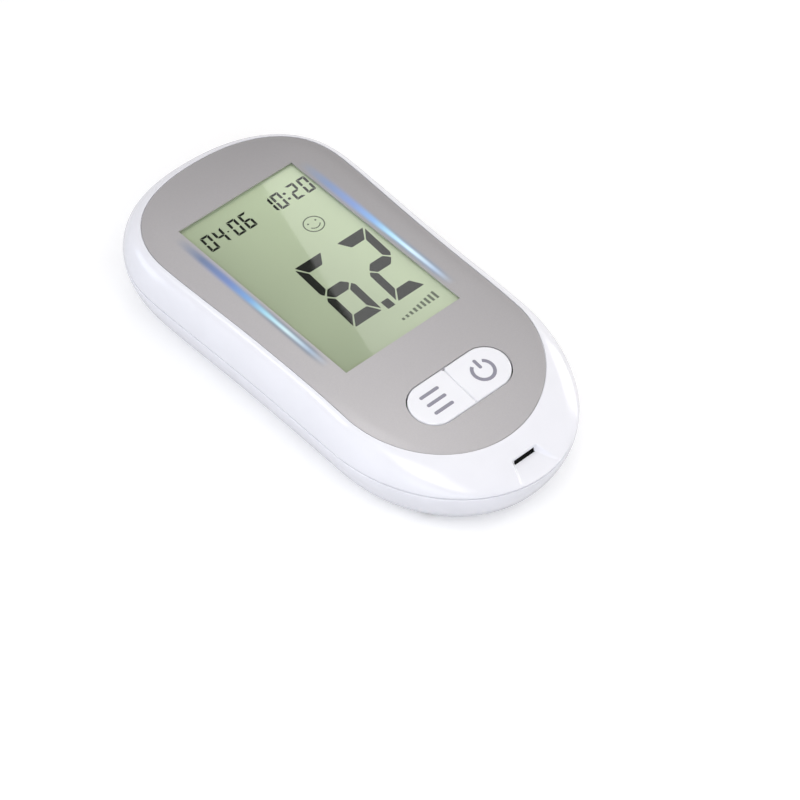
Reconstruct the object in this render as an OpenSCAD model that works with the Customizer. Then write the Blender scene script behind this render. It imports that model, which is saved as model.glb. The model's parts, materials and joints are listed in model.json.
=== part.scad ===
// Hand-held blood glucose meter: a pebble-shaped two-part housing with a display,
// two keys, a test strip port at the nose and two AAA cells behind a hinged door.
// Millimetres. +X is the right-hand side, +Y points from the strip port to the far
// end, +Z is up. The origin is on the table, under the centre of the housing.

/* [Housing] */
// Overall length over both rounded ends
body_l = 106.6; // [104:0.2:112]
// Width across the far half, at the parting line
body_w = 52.4; // [51:0.2:58]
// Width across the strip end, at the parting line
nose_w = 50.6; // [49:0.2:56]
// Length of the rounded end above the display
crest_cap = 24; // [22:0.5:27]
// Length of the rounded end round the strip port
nose_cap = 30.6; // [28:0.5:33]
// Squareness of the far end (2 is an ellipse)
crest_power = 2.25; // [2:0.05:2.6]
// Height of the flat of the face above the table
face_z = 19.7; // [19.5:0.1:22]
// Height of the parting line above the table
seam_z = 12.1; // [11.6:0.1:12.6]
// Groove in view along the parting line
seam_gap = 0.3; // [0.2:0.05:0.4]
// Wall of both covers
wall = 1.8; // [1.5:0.1:2]
// Roof of the front cover, between the overlay and the inside
roof_t = 1.15; // [1:0.05:1.3]
// How far the sides draw in from the parting line to the base
base_draw = 6.3; // [5:0.1:7]
// How far the two ends draw in from the parting line to the base
base_draw_end = 7.2; // [6:0.1:8]
// Distance from the strip tip to where the face starts to fall towards it
nose_fall_l = 41.65; // [40:0.05:41.9]
// Radius of that fall
nose_fall_r = 139; // [136:1:180]
// Radius of the fall of the face towards the far end
crest_fall_r = 83; // [70:1:120]
// Slope of the shoulder where it leaves the overlay, in degrees
shoulder_tilt = 11; // [5:1:20]
// Height of the tongue that locates the front cover in the rear cover
tongue_h = 1.2; // [0.8:0.1:1.5]
// Thickness of that tongue
tongue_t = 0.8; // [0.6:0.05:0.9]

/* [Face overlay] */
// Thickness of the overlay and depth of its recess
face_t = 0.35; // [0.25:0.05:0.5]
// Width of the overlay across the far half
face_w = 45.5; // [44:0.1:47]
// Width of the overlay across the strip end
face_nose_w = 43.2; // [42:0.1:45]
// White margin between the overlay and the far tip
crest_margin = 4.6; // [4:0.1:6]
// White margin between the overlay and the strip tip
nose_margin = 9.4; // [9:0.1:10]
// Gap round the overlay in its recess
face_gap = 0.15; // [0.1:0.05:0.25]

/* [Display] */
// Width of the display window
window_w = 29.05; // [27:0.05:30]
// Length of the display window
window_l = 49.9; // [46:0.1:51]
// Distance from the far tip to the middle of the window
window_setback = 43; // [42.5:0.1:44]
// Lap of the lens under the edge of the overlay
lens_lap = 0.7; // [0.4:0.05:0.75]
// Thickness of the lens
lens_t = 0.45; // [0.4:0.05:0.5]
// Thickness of each sheet of display glass
glass_t = 0.7; // [0.5:0.05:0.7]
// Thickness of the backlight panel
backlight_t = 1.05; // [0.8:0.05:1.1]
// Length of the contact ledge of the front glass
ledge_l = 2.9; // [2.6:0.1:3.1]

/* [Light guides] */
// Width of each light guide
guide_w = 1.4; // [1:0.1:1.6]
// Length of each light guide
guide_l = 43; // [38:0.5:44]
// Web between the window and each light guide
guide_web = 0.88; // [0.85:0.01:1]

/* [Keys] */
// Width over both keys
keys_w = 23.2; // [22:0.2:24]
// Length of the keys along the meter
keys_l = 9.6; // [9:0.2:10.4]
// Distance from the strip tip to the middle of the keys
keys_setback = 23; // [22.6:0.1:23.6]
// Gap round the keys
key_gap = 0.25; // [0.15:0.05:0.3]
// Gap between the two keys
key_split = 0.2; // [0.15:0.05:0.4]
// Height of the keys above the overlay
key_proud = 0.15; // [0.1:0.05:0.3]
// Travel of each key
key_travel = 0.4; // [0.3:0.05:0.5]
// Width of the flange that holds each key in
key_flange = 0.8; // [0.6:0.05:0.9]

/* [Strip port] */
// Width of the strip slit
slit_w = 5; // [4.6:0.1:5.6]
// Height of the strip slit
slit_h = 0.6; // [0.6:0.05:0.9]
// Height of the middle of the slit above the table
slit_z = 13.6; // [13.5:0.05:13.7]
// Distance from the strip tip to the slit
slit_setback = 5.3; // [5.1:0.1:5.6]
// Width of the scoop at the tip
scoop_w = 11; // [9:0.5:12]
// Fall of the scoop towards the tip, in degrees
scoop_fall = 8; // [6:1:10]

/* [Battery bay] */
// Diameter of a cell
cell_d = 10.5; // [10.1:0.1:10.5]
// Length of a cell, with its button
cell_l = 44.4; // [43.5:0.1:44.6]
// Gap between the two cells
cell_gap = 0.4; // [0.3:0.05:0.5]
// Compressed length of a cell spring
spring_l = 4.05; // [3.6:0.05:4.4]
// Distance from the strip tip to the near end of the bay
bay_setback = 33.5; // [33:0.1:34]
// Wall of the bay
bay_wall = 1.1; // [0.9:0.05:1.2]
// Thickness of the battery door
door_t = 1.4; // [1.3:0.05:1.5]
// Gap round the battery door
door_gap = 0.15; // [0.1:0.05:0.2]
// Radius of the rounded hinge edge of the door
knuckle_r = 0.9; // [0.85:0.05:0.95]
// Radius of the hinge pins
pin_r = 0.55; // [0.45:0.05:0.6]
// Radial running clearance of the hinge pins
pin_clear = 0.05; // [0.03:0.01:0.08]

/* [Circuit board] */
// Thickness of the board
board_t = 0.8; // [0.8:0.1:1]
// Height of the underside of the board above the table
board_z = 13.6; // [13.6:0.05:13.7]
// Diameter of the snap domes under the keys
dome_d = 6.2; // [5:0.1:7]

/* [Fasteners and feet] */
// Radius of the pillars that take the case screws
pillar_r = 2.3; // [2:0.1:2.4]
// Radius of the core of a case screw
screw_r = 0.82; // [0.7:0.01:0.9]
// Radius of the head of a case screw
screw_head_r = 1.75; // [1.6:0.05:1.8]
// Length of a case screw under its head
screw_l = 10; // [9:0.5:12]
// Radius of the posts that take the board screws
post_r = 1.7; // [1.5:0.1:1.8]
// Radius of a rubber foot
foot_r = 3; // [2.5:0.1:3.2]
// Height of the feet below the base
foot_proud = 0.4; // [0.3:0.05:0.5]
// Depth of the feet in the base
foot_sunk = 0.6; // [0.5:0.05:0.7]

/* [Hidden] */
$fn = 48;

// Clearances face to face, sliding and loose, and at a screw's core in its pilot hole
seat = 0.02;
slip = 0.05;
play = 0.1;
core_clear = 0.03;
// How far posts and blocks run into the wall that carries them, and cutters past theirs
root = 0.5;
past = 1;

// Heights
base_z = foot_proud;
floor_z = base_z + wall;
seam_top = seam_z + seam_gap / 2;
seam_low = seam_z - seam_gap / 2;
roof_drop = face_t + roof_t;
roof_z = face_z - roof_drop;
tongue_z = seam_top - tongue_h;
groove_z = tongue_z - play;

// Places along the meter
crest_y = body_l / 2 - crest_cap;
nose_y = -body_l / 2 + nose_cap;
window_y = body_l / 2 - window_setback;
window_near = window_y - window_l / 2;
window_far = window_y + window_l / 2;
keys_y = -body_l / 2 + keys_setback;
slit_y = -body_l / 2 + slit_setback;
nose_fall_y = -body_l / 2 + nose_fall_l;
crest_fall_y = window_far + 1;

// Half sizes of an outline: far half, strip half, far cap, strip cap
seam_outline = [body_w / 2, nose_w / 2, crest_cap, nose_cap];
face_outline = [face_w / 2, face_nose_w / 2, crest_cap - crest_margin, nose_cap - nose_margin];
recess_outline = face_outline + face_gap * [1, 1, 1, 1];
draw = [base_draw, base_draw, base_draw_end, base_draw_end];
cap_steps = 13;
side_steps = 7;

// Display stack, from the lens down
lens_top = face_z - face_t - play;
lens_size = [window_w + 2 * lens_lap, window_l + 2 * lens_lap];
glass_lap = [1.05, 1.7];
glass_w = window_w + glass_lap[0];
glass_l = window_l + glass_lap[1];
front_glass_z = lens_top - lens_t - seat - glass_t;
rear_glass_z = front_glass_z - seat - glass_t;
backlight_z = rear_glass_z - slip - backlight_t;
glass_y0 = window_y - glass_l / 2;
ledge_y = window_y + glass_l / 2;
glass_y1 = ledge_y + ledge_l;
lcd_slip = 0.15;
frame_rim = 2.5;
frame_lip = [4, 1.2, 0.2];
zebra_inset = [1, 0.4, 0.3];

// Board and what stands on it
board_top = board_z + board_t;
guide_x = window_w / 2 + guide_web + guide_w / 2;
guide_lip = 0.2;
guide_lip_end = 0.5;
guide_foot = 0.6;
guide_leg = 3;
post_room = 0.5;
post_x = guide_x + guide_w / 2 + guide_lip + post_room + post_r;
post_insets = [6.65, 11.25];
post_ys = [window_near + post_insets[0], window_far - post_insets[1]];
board_w = 2 * (post_x + post_r + play);
board_end = 1.4;
board_y1 = glass_y1 + board_end;
board_nose_w = 24;
board_corner = 2;
ear_reach = [12, 8];
ear_y0 = post_ys[0] - ear_reach[0];
ear_y1 = post_ys[1] + ear_reach[1];
led_back = 5.8;
led_y = window_y - led_back;
led_size = [1.6, 3, 0.6];

// Places of the chips and small parts, from the middle of the window
mcu_place = [0, 1];
mcu_size = [10, 10, 1.2];
mcu_leads = [12, 0.65];
memory_inset = 7.95;
memory_place = [0, memory_inset - window_l / 2];
memory_size = [5, 4, 1.3];
memory_leads = [4, 1.27];
lead_size = [0.22, 0.9, 0.15];
lead_lift = 0.1;
crystal_place = [-9.5, 12];
crystal_r = 0.75;
crystal_l = 5;
resistor_size = [1.6, 0.8, 0.45];
resistor_first = [10, -4];
resistor_pitch = 2.2;
resistor_places = [for (i = [0 : 4]) resistor_first + [0, resistor_pitch * i]];
capacitor_size = [0.8, 1.6, 0.8];
capacitor_first = [-4.5, 12];
capacitor_pitch = 3;
capacitor_places = [for (i = [0 : 3]) capacitor_first + [capacitor_pitch * i, 0]];
buzzer_r = 5.6;
buzzer_h = 3;
buzzer_hole = [1, 0.6];
buzzer_gap = 0.8;

// Keys: round ends, the middle of each key, and the notch between them at the far edge
key_r = keys_l / 2;
key_x = keys_w / 2 - key_r;
dome_x = keys_w / 4;
key_notch = [0.8, 0.5];
flange_t = 0.5;
flange_drop = roof_drop + play;
dome_t = 0.12;
dome_spare = 0.2;
dome_h = key_travel + dome_spare;
dome_top = board_top + dome_h;
stem_r = 1.6;

// Strip connector behind the port
throat_l = 5.6;
connector_side = 3.2;
connector_w = slit_w + 2 * connector_side;
connector_y0 = slit_y + throat_l;
connector_lap = 0.7;
connector_y1 = keys_y - key_r - key_flange + connector_lap;
connector_under = 1.4;
connector_over = 1;
connector_z = slit_z - connector_under;
connector_top = slit_z + connector_over;
connector_back = 1.2;
strip_room = 0.2;
ear_w = 1.6;
strip_floor_z = slit_z - slit_h / 2 - play;
contact_w = 0.5;
contact_t = 0.12;
contact_pitch = 0.9;
contact_bow = 0.42;
contact_start = 0.6;
contact_ends = [0.4, 4.8];
contact_bend = [1.2, 3.2];
contact_ease = 0.1;
port_side = 2.1;
port_block_w = slit_w + 2 * port_side;
port_lead = 3;
port_z = seam_low - 0.2;
scoop_lead = 0.3;
board_lap = 1.7;
board_y0 = connector_y1 - board_lap;

// Battery bay
cell_r = cell_d / 2;
cell_x = cell_r + cell_gap / 2;
button_l = 0.8;
button_r = 1.9;
bead = [0.3, 0.2, 0.4];
plate_t = 0.4;
dimple_t = 0.3;
bay_room = 0.25;
bay_in_w = 2 * cell_d + cell_gap + 2 * bay_room;
bay_y0 = -body_l / 2 + bay_setback;
bay_l = cell_l + spring_l + 2 * plate_t + dimple_t + 5 * slip;
bay_y1 = bay_y0 + bay_l;
cell_lift = 0.3;
cell_z = base_z + door_t + cell_lift + cell_r;
bay_roof_z = cell_z + cell_r + play;
bay_top_z = board_z - play;
plate_h = cell_d - 2.5;
plate_inset = 2;
plate_split = 1;
spring_r = [3.3, 2];
wire_r = 0.25;
dimple_r = [1.5, 1.1];
rib_t = 1;
rib_l = 4;
rib_top = seam_z - 3;
rib_inset = 6;
rib_ys = [bay_y0 + rib_inset, bay_y0 + bay_l / 2, bay_y1 - rib_inset];
bay_w = bay_in_w + 2 * bay_wall;
near_cell_y = bay_y0 + slip + plate_t + spring_l + slip;
far_cell_y = bay_y0 + slip + plate_t + dimple_t + slip;

// Battery door, hinged at its far end
door_lap = 0.5;
door_w = bay_w + door_lap;
hinge_back = 1.5;
hinge_y = bay_y1 + bay_wall + hinge_back;
hinge_z = base_z + knuckle_r;
door_y0 = bay_y0 - bay_wall - door_lap;
pin_l = 1.2;
pin_end = 0.2;
rim_z = base_z + 3;
rim_side = 1.6;
rim_w = door_w + 2 * (door_gap + rim_side);
sleeve_t = 0.4;
sleeve_r = pillar_r + sleeve_t;
leaf_w = 6;
leaf_t = 0.8;
leaf_h = 3.8;
leaf_y = door_y0 - leaf_t;
leaf_z = base_z + 0.6;
leaf_gap = [0.2, 0.3];
rim_margin = [1.6, 2.4];
catch_r = 0.18;
catch_l = 4;
grip = [12, 0.8, 0.35];
grip_pitch = 1.6;
grip_setback = 2.2;

// Thumb notch and sound slots, ahead of the door
notch_r = 9;
notch_depth = 1.2;
notch_lead = 2;
notch_y = door_y0 - notch_lead;
sound_w = 0.9;
sound_l = 7;
sound_pitch = 2;
sound_lead = 9;
sound_y = door_y0 - sound_lead;

// Fasteners and feet
screw_insets = [1.6, 1.8];
near_screw = [13.8, 7.3];
screws = [[post_x - screw_insets[0], window_far + screw_insets[1]],
    [near_screw[0], keys_y - near_screw[1]]];
split_z = 8;
head_seat_z = base_z + 2;
head_h = 1.2;
head_room = 0.2;
shank_room = 0.3;
board_screw_r = 0.6;
board_head_r = 1.3;
board_head_h = 0.8;
board_screw_l = 3.6;
screw_tip = 0.8;
cross_w = 0.32;
foot_edge = 0.2;
far_foot = [9.5, 11.2];
near_foot = [7.5, 8];
feet = [[far_foot[0], crest_y + far_foot[1]], [near_foot[0], slit_y + near_foot[1]]];

// Number part way from a to b
function lerp(a, b, t) = a + (b - a) * t;

// Growth of the width from the strip half to the far half
function swell(s) = pow(s, 4) * (5 - 4 * s);

// Height of the crowned face at y
function crown(y) =
    face_z - pow(max(0, nose_fall_y - y), 2) / (2 * nose_fall_r)
    - pow(max(0, y - crest_fall_y), 2) / (2 * crest_fall_r);

// Outset and drop of the shoulder at angle a, both from 0 at the overlay to 1 at the seam
function shoulder_out(a) = (sin(a) - sin(shoulder_tilt)) / (1 - sin(shoulder_tilt));
function shoulder_drop(a) = (cos(shoulder_tilt) - cos(a)) / cos(shoulder_tilt);

// Inset and drop of the rear cover's side at angle a, from 0 at the seam to 1 at the base
function side_in(a) = 1 - pow(cos(a), 1.333);
function side_drop(a) = pow(sin(a), 1.333);

// Right-hand half of an outline, from the strip tip to the far tip
function half_outline(o) = concat(
    [for (i = [0 : cap_steps - 1]) let (t = 90 * i / cap_steps)
        [o[1] * sin(t), nose_y - o[3] * cos(t)]],
    [for (i = [0 : side_steps - 1]) let (s = i / side_steps)
        [lerp(o[1], o[0], swell(s)), lerp(nose_y, crest_y, s)]],
    [for (i = [0 : cap_steps]) let (t = 90 * i / cap_steps)
        [o[0] * pow(max(0, cos(t)), 2 / crest_power),
            crest_y + o[2] * pow(max(0, sin(t)), 2 / crest_power)]]);

// Whole outline, in one turn
function outline(o) = let (h = half_outline(o), m = len(h) - 1) concat(
    [for (i = [0 : m]) [i == m ? 0 : h[i][0], h[i][1]]],
    [for (i = [m - 1 : -1 : 1]) [-h[i][0], h[i][1]]]);

// Ring of points that stands part way from the crown, less drop, to the height z
function ring(o, drop, z, t) = [for (p = outline(o)) [p[0], p[1], lerp(crown(p[1]) - drop, z, t)]];

// Height of the shoulder over the centreline, ahead of the overlay
function nose_top(y) =
    let (e = (nose_y - recess_outline[3] - y) / (seam_outline[3] - recess_outline[3]))
    let (a = asin(min(1, sin(shoulder_tilt) + max(0, e) * (1 - sin(shoulder_tilt)))))
    lerp(crown(y), seam_top, shoulder_drop(a));

// A face seen from its other side
function turned(f) = [for (i = [len(f) - 1 : -1 : 0]) f[i]];

// Closed solid through rings of the same number of points, capped by rungs across the ends;
// cup_up turns its faces, for rings that start inside a shell that opens upwards
module loft(rings, cup_up = false) {
    n = len(rings[0]);
    m = n / 2;
    last = (len(rings) - 1) * n;
    points = [for (r = rings) each r];
    sides = [for (k = [0 : len(rings) - 2]) for (i = [0 : n - 1]) let (j = (i + 1) % n)
        each [[k * n + i, k * n + n + i, k * n + n + j], [k * n + i, k * n + n + j, k * n + j]]];
    first_cap = concat([[0, 1, n - 1]],
        [for (i = [1 : m - 2]) [i, i + 1, n - i - 1, n - i]], [[m - 1, m, m + 1]]);
    last_cap = [for (f = first_cap) [for (i = turned(f)) i + last]];
    faces = concat(sides, first_cap, last_cap);
    polyhedron(points, cup_up ? [for (f = faces) turned(f)] : faces);
}

// Slab between two offsets from the crowned face
module crown_slab(top, bottom) {
    ends = body_l / 2 + past;
    falls = concat([for (i = [0 : 18]) lerp(-ends, nose_fall_y, i / 18)],
        [for (i = [0 : 6]) lerp(crest_fall_y, ends, i / 6)]);
    upper = [for (y = falls) [y, crown(y) + top]];
    lower = [for (i = [len(falls) - 1 : -1 : 0]) [falls[i], crown(falls[i]) + bottom]];
    rotate([90, 0, 90])
        linear_extrude(body_w, center = true)
            polygon(concat(upper, lower));
}

// Block from x0, y0, z0 to x1, y1, z1
module block(low, high) {
    translate(low) cube(high - low);
}

// Block of a width, centred on the meter's centreline
module bar(w, y0, y1, z0, z1) {
    block([-w / 2, y0, z0], [w / 2, y1, z1]);
}

// Upright bar with round ends, along Y
module slot(w, l, h) {
    translate([-w / 2, -(l - w) / 2, 0]) cube([w, l - w, h]);
    for (s = [-1, 1])
        translate([0, s * (l - w) / 2, 0]) cylinder(r = w / 2, h = h);
}

// Cylinder from z0 to z1
module pin(r, z0, z1) {
    translate([0, 0, z0]) cylinder(r = r, h = z1 - z0);
}

// Places its child at both sides of the meter
module both_sides(places) {
    for (p = places, s = [-1, 1])
        translate([s * p[0], p[1], 0]) children();
}

// Plan of both keys together, grown all round
module keys_plan(grow) {
    square([2 * key_x, keys_l + 2 * grow], center = true);
    for (s = [-1, 1])
        translate([s * key_x, 0]) circle(key_r + grow);
}

// Plan of one key; side is -1 for the left and 1 for the right
module key_plan(side, grow) {
    translate([side * key_x, 0]) circle(key_r + grow);
    translate([side > 0 ? key_split / 2 : -key_x, -key_r - grow])
        square([key_x - key_split / 2, keys_l + 2 * grow]);
}

// Hole for both keys in the face
module keys_hole() {
    translate([0, keys_y, seam_z])
        linear_extrude(face_z - seam_z)
            keys_plan(key_gap);
}

// Slots for both light guides in the face
module guide_slots() {
    for (s = [-1, 1])
        translate([s * guide_x, window_y, seam_z])
            slot(guide_w + 2 * slip, guide_l + 2 * slip, face_z - seam_z + past);
}

// Fan-shaped scoop that leads a strip into the slit
module scoop() {
    translate([0, slit_y, strip_floor_z])
        rotate([scoop_fall, 0, 0])
            linear_extrude(face_z - slit_z)
                polygon([[slit_w / 2 + scoop_lead, 0], [scoop_w / 2, -slit_setback - past],
                    [-scoop_w / 2, -slit_setback - past], [-slit_w / 2 - scoop_lead, 0]]);
}

// Crowned shell of the front cover, with the overlay's recess and the tongue
module front_shell() {
    rise = [for (i = [0 : 10]) lerp(90, shoulder_tilt, i / 10)];
    inside = [for (i = [7 : -1 : 0]) let (a = lerp(90, shoulder_tilt, i / 7))
        ring(lerp(recess_outline, seam_outline, shoulder_out(a)) - wall * [1, 1, 1, 1],
            roof_drop, seam_top, shoulder_drop(a))];
    inner = seam_outline - wall * [1, 1, 1, 1];
    tongue = inner + tongue_t * [1, 1, 1, 1];
    rim = [ring(inner, 0, tongue_z, 1), ring(tongue, 0, tongue_z, 1), ring(tongue, 0, seam_top, 1)];
    outside = [for (a = rise)
        ring(lerp(recess_outline, seam_outline, shoulder_out(a)), 0, seam_top, shoulder_drop(a))];
    recess = [ring(recess_outline, face_t, 0, 0)];
    loft(concat(inside, rim, outside, recess));
}

module front_cover() {
    color("white")
    difference() {
        union() {
            front_shell();
            for (place = screws)
                both_sides([place]) pin(pillar_r, split_z + slip, crown(place[1]) - roof_drop + root);
            for (y = post_ys)
                both_sides([[post_x, y]]) pin(post_r, board_top + slip, roof_z + root);
            port_block();
        }
        bar(lens_size[0] + 2 * play, window_y - lens_size[1] / 2 - play,
            window_y + lens_size[1] / 2 + play, seam_z, face_z);
        bar(glass_w + 2 * lcd_slip, glass_y0 - lcd_slip, glass_y1 + lcd_slip,
            board_top, front_glass_z + glass_t + slip);
        keys_hole();
        guide_slots();
        both_sides(screws) pin(screw_r + core_clear, split_z - past, head_seat_z + screw_l + root);
        for (y = post_ys)
            both_sides([[post_x, y]])
                pin(board_screw_r + core_clear, board_z, board_z + board_screw_l + play);
        bar(slit_w, slit_y - past, connector_y0 + past, slit_z - slit_h / 2, slit_z + slit_h / 2);
        scoop();
    }
}

// Solid nose behind the scoop, which the strip slit runs through
module port_block() {
    ys = [for (i = [0 : 5]) lerp(slit_y - port_lead, connector_y0 - slip, i / 5)];
    section = concat([[ys[5], port_z], [ys[0], port_z]],
        [for (y = ys) [y, nose_top(y) - wall / 2]]);
    rotate([90, 0, 90])
        linear_extrude(port_block_w, center = true)
            polygon(section);
}

// Lower shell of the housing, open at the parting line
module rear_shell() {
    inner = seam_outline - wall * [1, 1, 1, 1];
    socket = inner + (tongue_t + play) * [1, 1, 1, 1];
    inside = [for (i = [7 : -1 : 0]) let (a = 90 * i / 7)
        ring(inner - side_in(a) * draw, 0, lerp(groove_z, floor_z, side_drop(a)), 1)];
    rim = [ring(socket, 0, groove_z, 1), ring(socket, 0, seam_low, 1)];
    outside = [for (i = [0 : 10]) let (a = 90 * i / 10)
        ring(seam_outline - side_in(a) * draw, 0, lerp(seam_low, base_z, side_drop(a)), 1)];
    loft(concat(inside, rim, outside), cup_up = true);
}

module rear_cover() {
    color("white")
    difference() {
        union() {
            rear_shell();
            bar(bay_w, bay_y0 - bay_wall, bay_y1 + bay_wall, floor_z - root, bay_top_z);
            bar(rim_w, leaf_y - rim_margin[0], hinge_y + rim_margin[1], floor_z - root, rim_z);
            both_sides(screws) pin(sleeve_r, floor_z - root, split_z);
            for (y = rib_ys)
                bar(bay_w + 2 * rib_l, y - rib_t / 2, y + rib_t / 2, floor_z - root, rib_top);
        }
        bar(bay_in_w, bay_y0, bay_y1, base_z - past, bay_roof_z);
        bar(door_w + 2 * door_gap, door_y0 - door_gap, hinge_y, base_z - past, base_z + door_t + play);
        bar(door_w + 2 * door_gap, hinge_y, hinge_y + knuckle_r + door_gap, base_z - past, hinge_z);
        translate([0, hinge_y, hinge_z]) rotate([0, 90, 0])
            cylinder(r = knuckle_r + door_gap, h = door_w + 2 * door_gap, center = true);
        translate([0, hinge_y, hinge_z]) rotate([0, 90, 0])
            cylinder(r = pin_r + pin_clear, h = door_w + 2 * (pin_l + pin_end), center = true);
        bar(leaf_w + 2 * leaf_gap[0], leaf_y - leaf_gap[1], bay_y0 - bay_wall,
            base_z - past, rim_z + past);
        both_sides(screws) pin(screw_head_r + head_room, -past, head_seat_z);
        both_sides(screws) pin(screw_r + shank_room, 0, split_z + past);
        both_sides(feet) pin(foot_r + slip, -past, base_z + foot_sunk);
        translate([0, notch_y, base_z + notch_depth - notch_r]) sphere(r = notch_r);
        for (i = [0 : 2])
            translate([0, sound_y - sound_pitch * i, -past]) rotate([0, 0, 90])
                slot(sound_w, sound_l, floor_z + 2 * past);
    }
}

module face_overlay() {
    color("silver")
    difference() {
        intersection() {
            linear_extrude(face_z + past) polygon(outline(face_outline));
            crown_slab(0, seat - face_t);
        }
        bar(window_w, window_near, window_far, seam_z, face_z + past);
        keys_hole();
        guide_slots();
    }
}

module display_lens() {
    color("lightcyan")
    bar(lens_size[0], window_y - lens_size[1] / 2, window_y + lens_size[1] / 2, lens_top - lens_t, lens_top);
}

// Clear bar that shows through the overlay, with a lip inside and a leg down to its light
module light_guide(side) {
    color("deepskyblue")
    translate([side * guide_x, window_y, roof_z - guide_foot]) {
        slot(guide_w, guide_l, roof_drop + guide_foot);
        slot(guide_w + 2 * guide_lip, guide_l + 2 * guide_lip_end, guide_foot - slip);
    }
    translate([side * guide_x, led_y, 0])
        bar(guide_w, -guide_leg / 2, guide_leg / 2, board_top + led_size[2] + slip,
            roof_z - guide_foot / 2);
}

module light_guide_left() { light_guide(-1); }

module light_guide_right() { light_guide(1); }

module lcd_front_glass() {
    color("darkseagreen")
    bar(glass_w, glass_y0, glass_y1, front_glass_z, front_glass_z + glass_t);
}

module lcd_rear_glass() {
    color("darkseagreen")
    bar(glass_w, glass_y0, ledge_y, rear_glass_z, rear_glass_z + glass_t);
}

module backlight_panel() {
    color("honeydew")
    bar(glass_w - 2 * lcd_slip, glass_y0 + lcd_slip, ledge_y - lcd_slip,
        backlight_z, backlight_z + backlight_t);
}

// Ring that carries the display on the board, with a lip at the end by the keys
module lcd_frame() {
    color("dimgray")
    difference() {
        union() {
            bar(glass_w, glass_y0, ledge_y, board_top + slip, backlight_z - seat);
            bar(glass_w - frame_lip[0], glass_y0 - frame_lip[1], glass_y0 + past,
                board_top + slip, backlight_z - seat);
            bar(glass_w - frame_lip[0], glass_y0 - frame_lip[1], glass_y0 - frame_lip[2],
                board_top + slip, rear_glass_z + glass_t);
        }
        bar(glass_w - 2 * frame_rim, glass_y0 + frame_rim, ledge_y - frame_rim,
            board_z, backlight_z + past);
    }
}

module zebra_strip() {
    color("salmon")
    bar(glass_w - 2 * zebra_inset[0], ledge_y + zebra_inset[1], glass_y1 - zebra_inset[2],
        board_top + seat, front_glass_z - seat);
}

module circuit_board() {
    right_edge = [[board_nose_w / 2, board_y0], [board_w / 2, ear_y0], [board_w / 2, ear_y1],
        [glass_w / 2, board_y1 - board_corner], [glass_w / 2, board_y1]];
    left_edge = [for (p = turned(right_edge)) [-p[0], p[1]]];
    color("seagreen")
    translate([0, 0, board_z])
        linear_extrude(board_t)
            difference() {
                polygon(concat(right_edge, left_edge));
                both_sides(screws) circle(pillar_r + shank_room);
                for (y = post_ys)
                    both_sides([[post_x, y]]) circle(board_screw_r + shank_room);
                translate([-connector_w / 2 - play, board_y0 - past])
                    square([connector_w + 2 * play, connector_y1 - board_y0 + past + play]);
            }
}

// Puts its child on the board, at a place counted from the middle of the window
module on_board(place) {
    translate([place[0], window_y + place[1], board_top + seat]) children();
}

// Flat chip with rows of leads on two or four sides
module chip(size, leads, turns) {
    start = -size[1] / 2 - lead_size[1] + lead_lift;
    translate([-size[0] / 2, -size[1] / 2, lead_lift]) cube(size);
    for (turn = turns, i = [0 : leads[0] - 1])
        rotate([0, 0, turn])
            translate([(i - (leads[0] - 1) / 2) * leads[1] - lead_size[0] / 2, start, 0])
                cube(lead_size + [0, 0, lead_lift]);
}

module microcontroller() {
    color("black")
    on_board(mcu_place) chip(mcu_size, mcu_leads, [0, 90, 180, 270]);
}

module memory_chip() {
    color("black")
    on_board(memory_place) chip(memory_size, memory_leads, [0, 180]);
}

module crystal() {
    color("silver")
    on_board(crystal_place)
        translate([0, 0, crystal_r]) rotate([90, 0, 0])
            cylinder(r = crystal_r, h = crystal_l, center = true);
}

// Small parts in rows on the board, inside the display's frame
module small_parts(size, places) {
    for (p = places)
        on_board(p) bar(size[0], -size[1] / 2, size[1] / 2, 0, size[2]);
}

module chip_resistors() {
    color("black")
    small_parts(resistor_size, resistor_places);
}

module chip_capacitors() {
    color("tan")
    small_parts(capacitor_size, capacitor_places);
}

module side_leds() {
    color("lightblue")
    for (s = [-1, 1])
        translate([s * guide_x - led_size[0] / 2, led_y - led_size[1] / 2, board_top + seat])
            cube(led_size - [0, 0, seat]);
}

// Round sounder under the board, over the slots of the rear cover
module buzzer() {
    color("black")
    translate([0, bay_y0 - bay_wall - buzzer_r - buzzer_gap, board_z - seat])
        difference() {
            pin(buzzer_r, -buzzer_h, 0);
            pin(buzzer_hole[0], -buzzer_h - past, -buzzer_h + buzzer_hole[1]);
        }
}

// Thin domed disc that clicks under a key
module key_dome(side) {
    rise = [for (i = [0 : 6]) let (a = 90 * i / 6) [dome_d / 2 * sin(a), (dome_h - dome_t) * cos(a)]];
    color("gainsboro")
    translate([side * dome_x, keys_y, board_top + seat])
        rotate_extrude()
            polygon(concat([for (p = rise) p + [0, dome_t - seat]],
                [for (i = [6 : -1 : 0]) rise[i] - [i > 0 ? dome_t : 0, 0]]));
}

module key_dome_left() { key_dome(-1); }

module key_dome_right() { key_dome(1); }

// Key cap with a flange under the roof and a stem over its dome
module key(side) {
    color("white")
    difference() {
        union() {
            intersection() {
                translate([0, keys_y, seam_z]) linear_extrude(face_z) key_plan(side, 0);
                crown_slab(key_proud, -flange_drop - flange_t / 2);
            }
            intersection() {
                translate([0, keys_y, seam_z]) linear_extrude(face_z) key_plan(side, key_flange);
                crown_slab(-flange_drop, -flange_drop - flange_t);
            }
            translate([side * dome_x, keys_y, 0])
                pin(stem_r, dome_top + slip, crown(keys_y) - flange_drop - flange_t / 2);
        }
        bar(key_notch[0], keys_y + key_r - key_notch[1], keys_y + key_r + past,
            crown(keys_y) - face_t - play, face_z + past);
    }
}

module left_key() { key(-1); }

module right_key() { key(1); }

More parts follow.
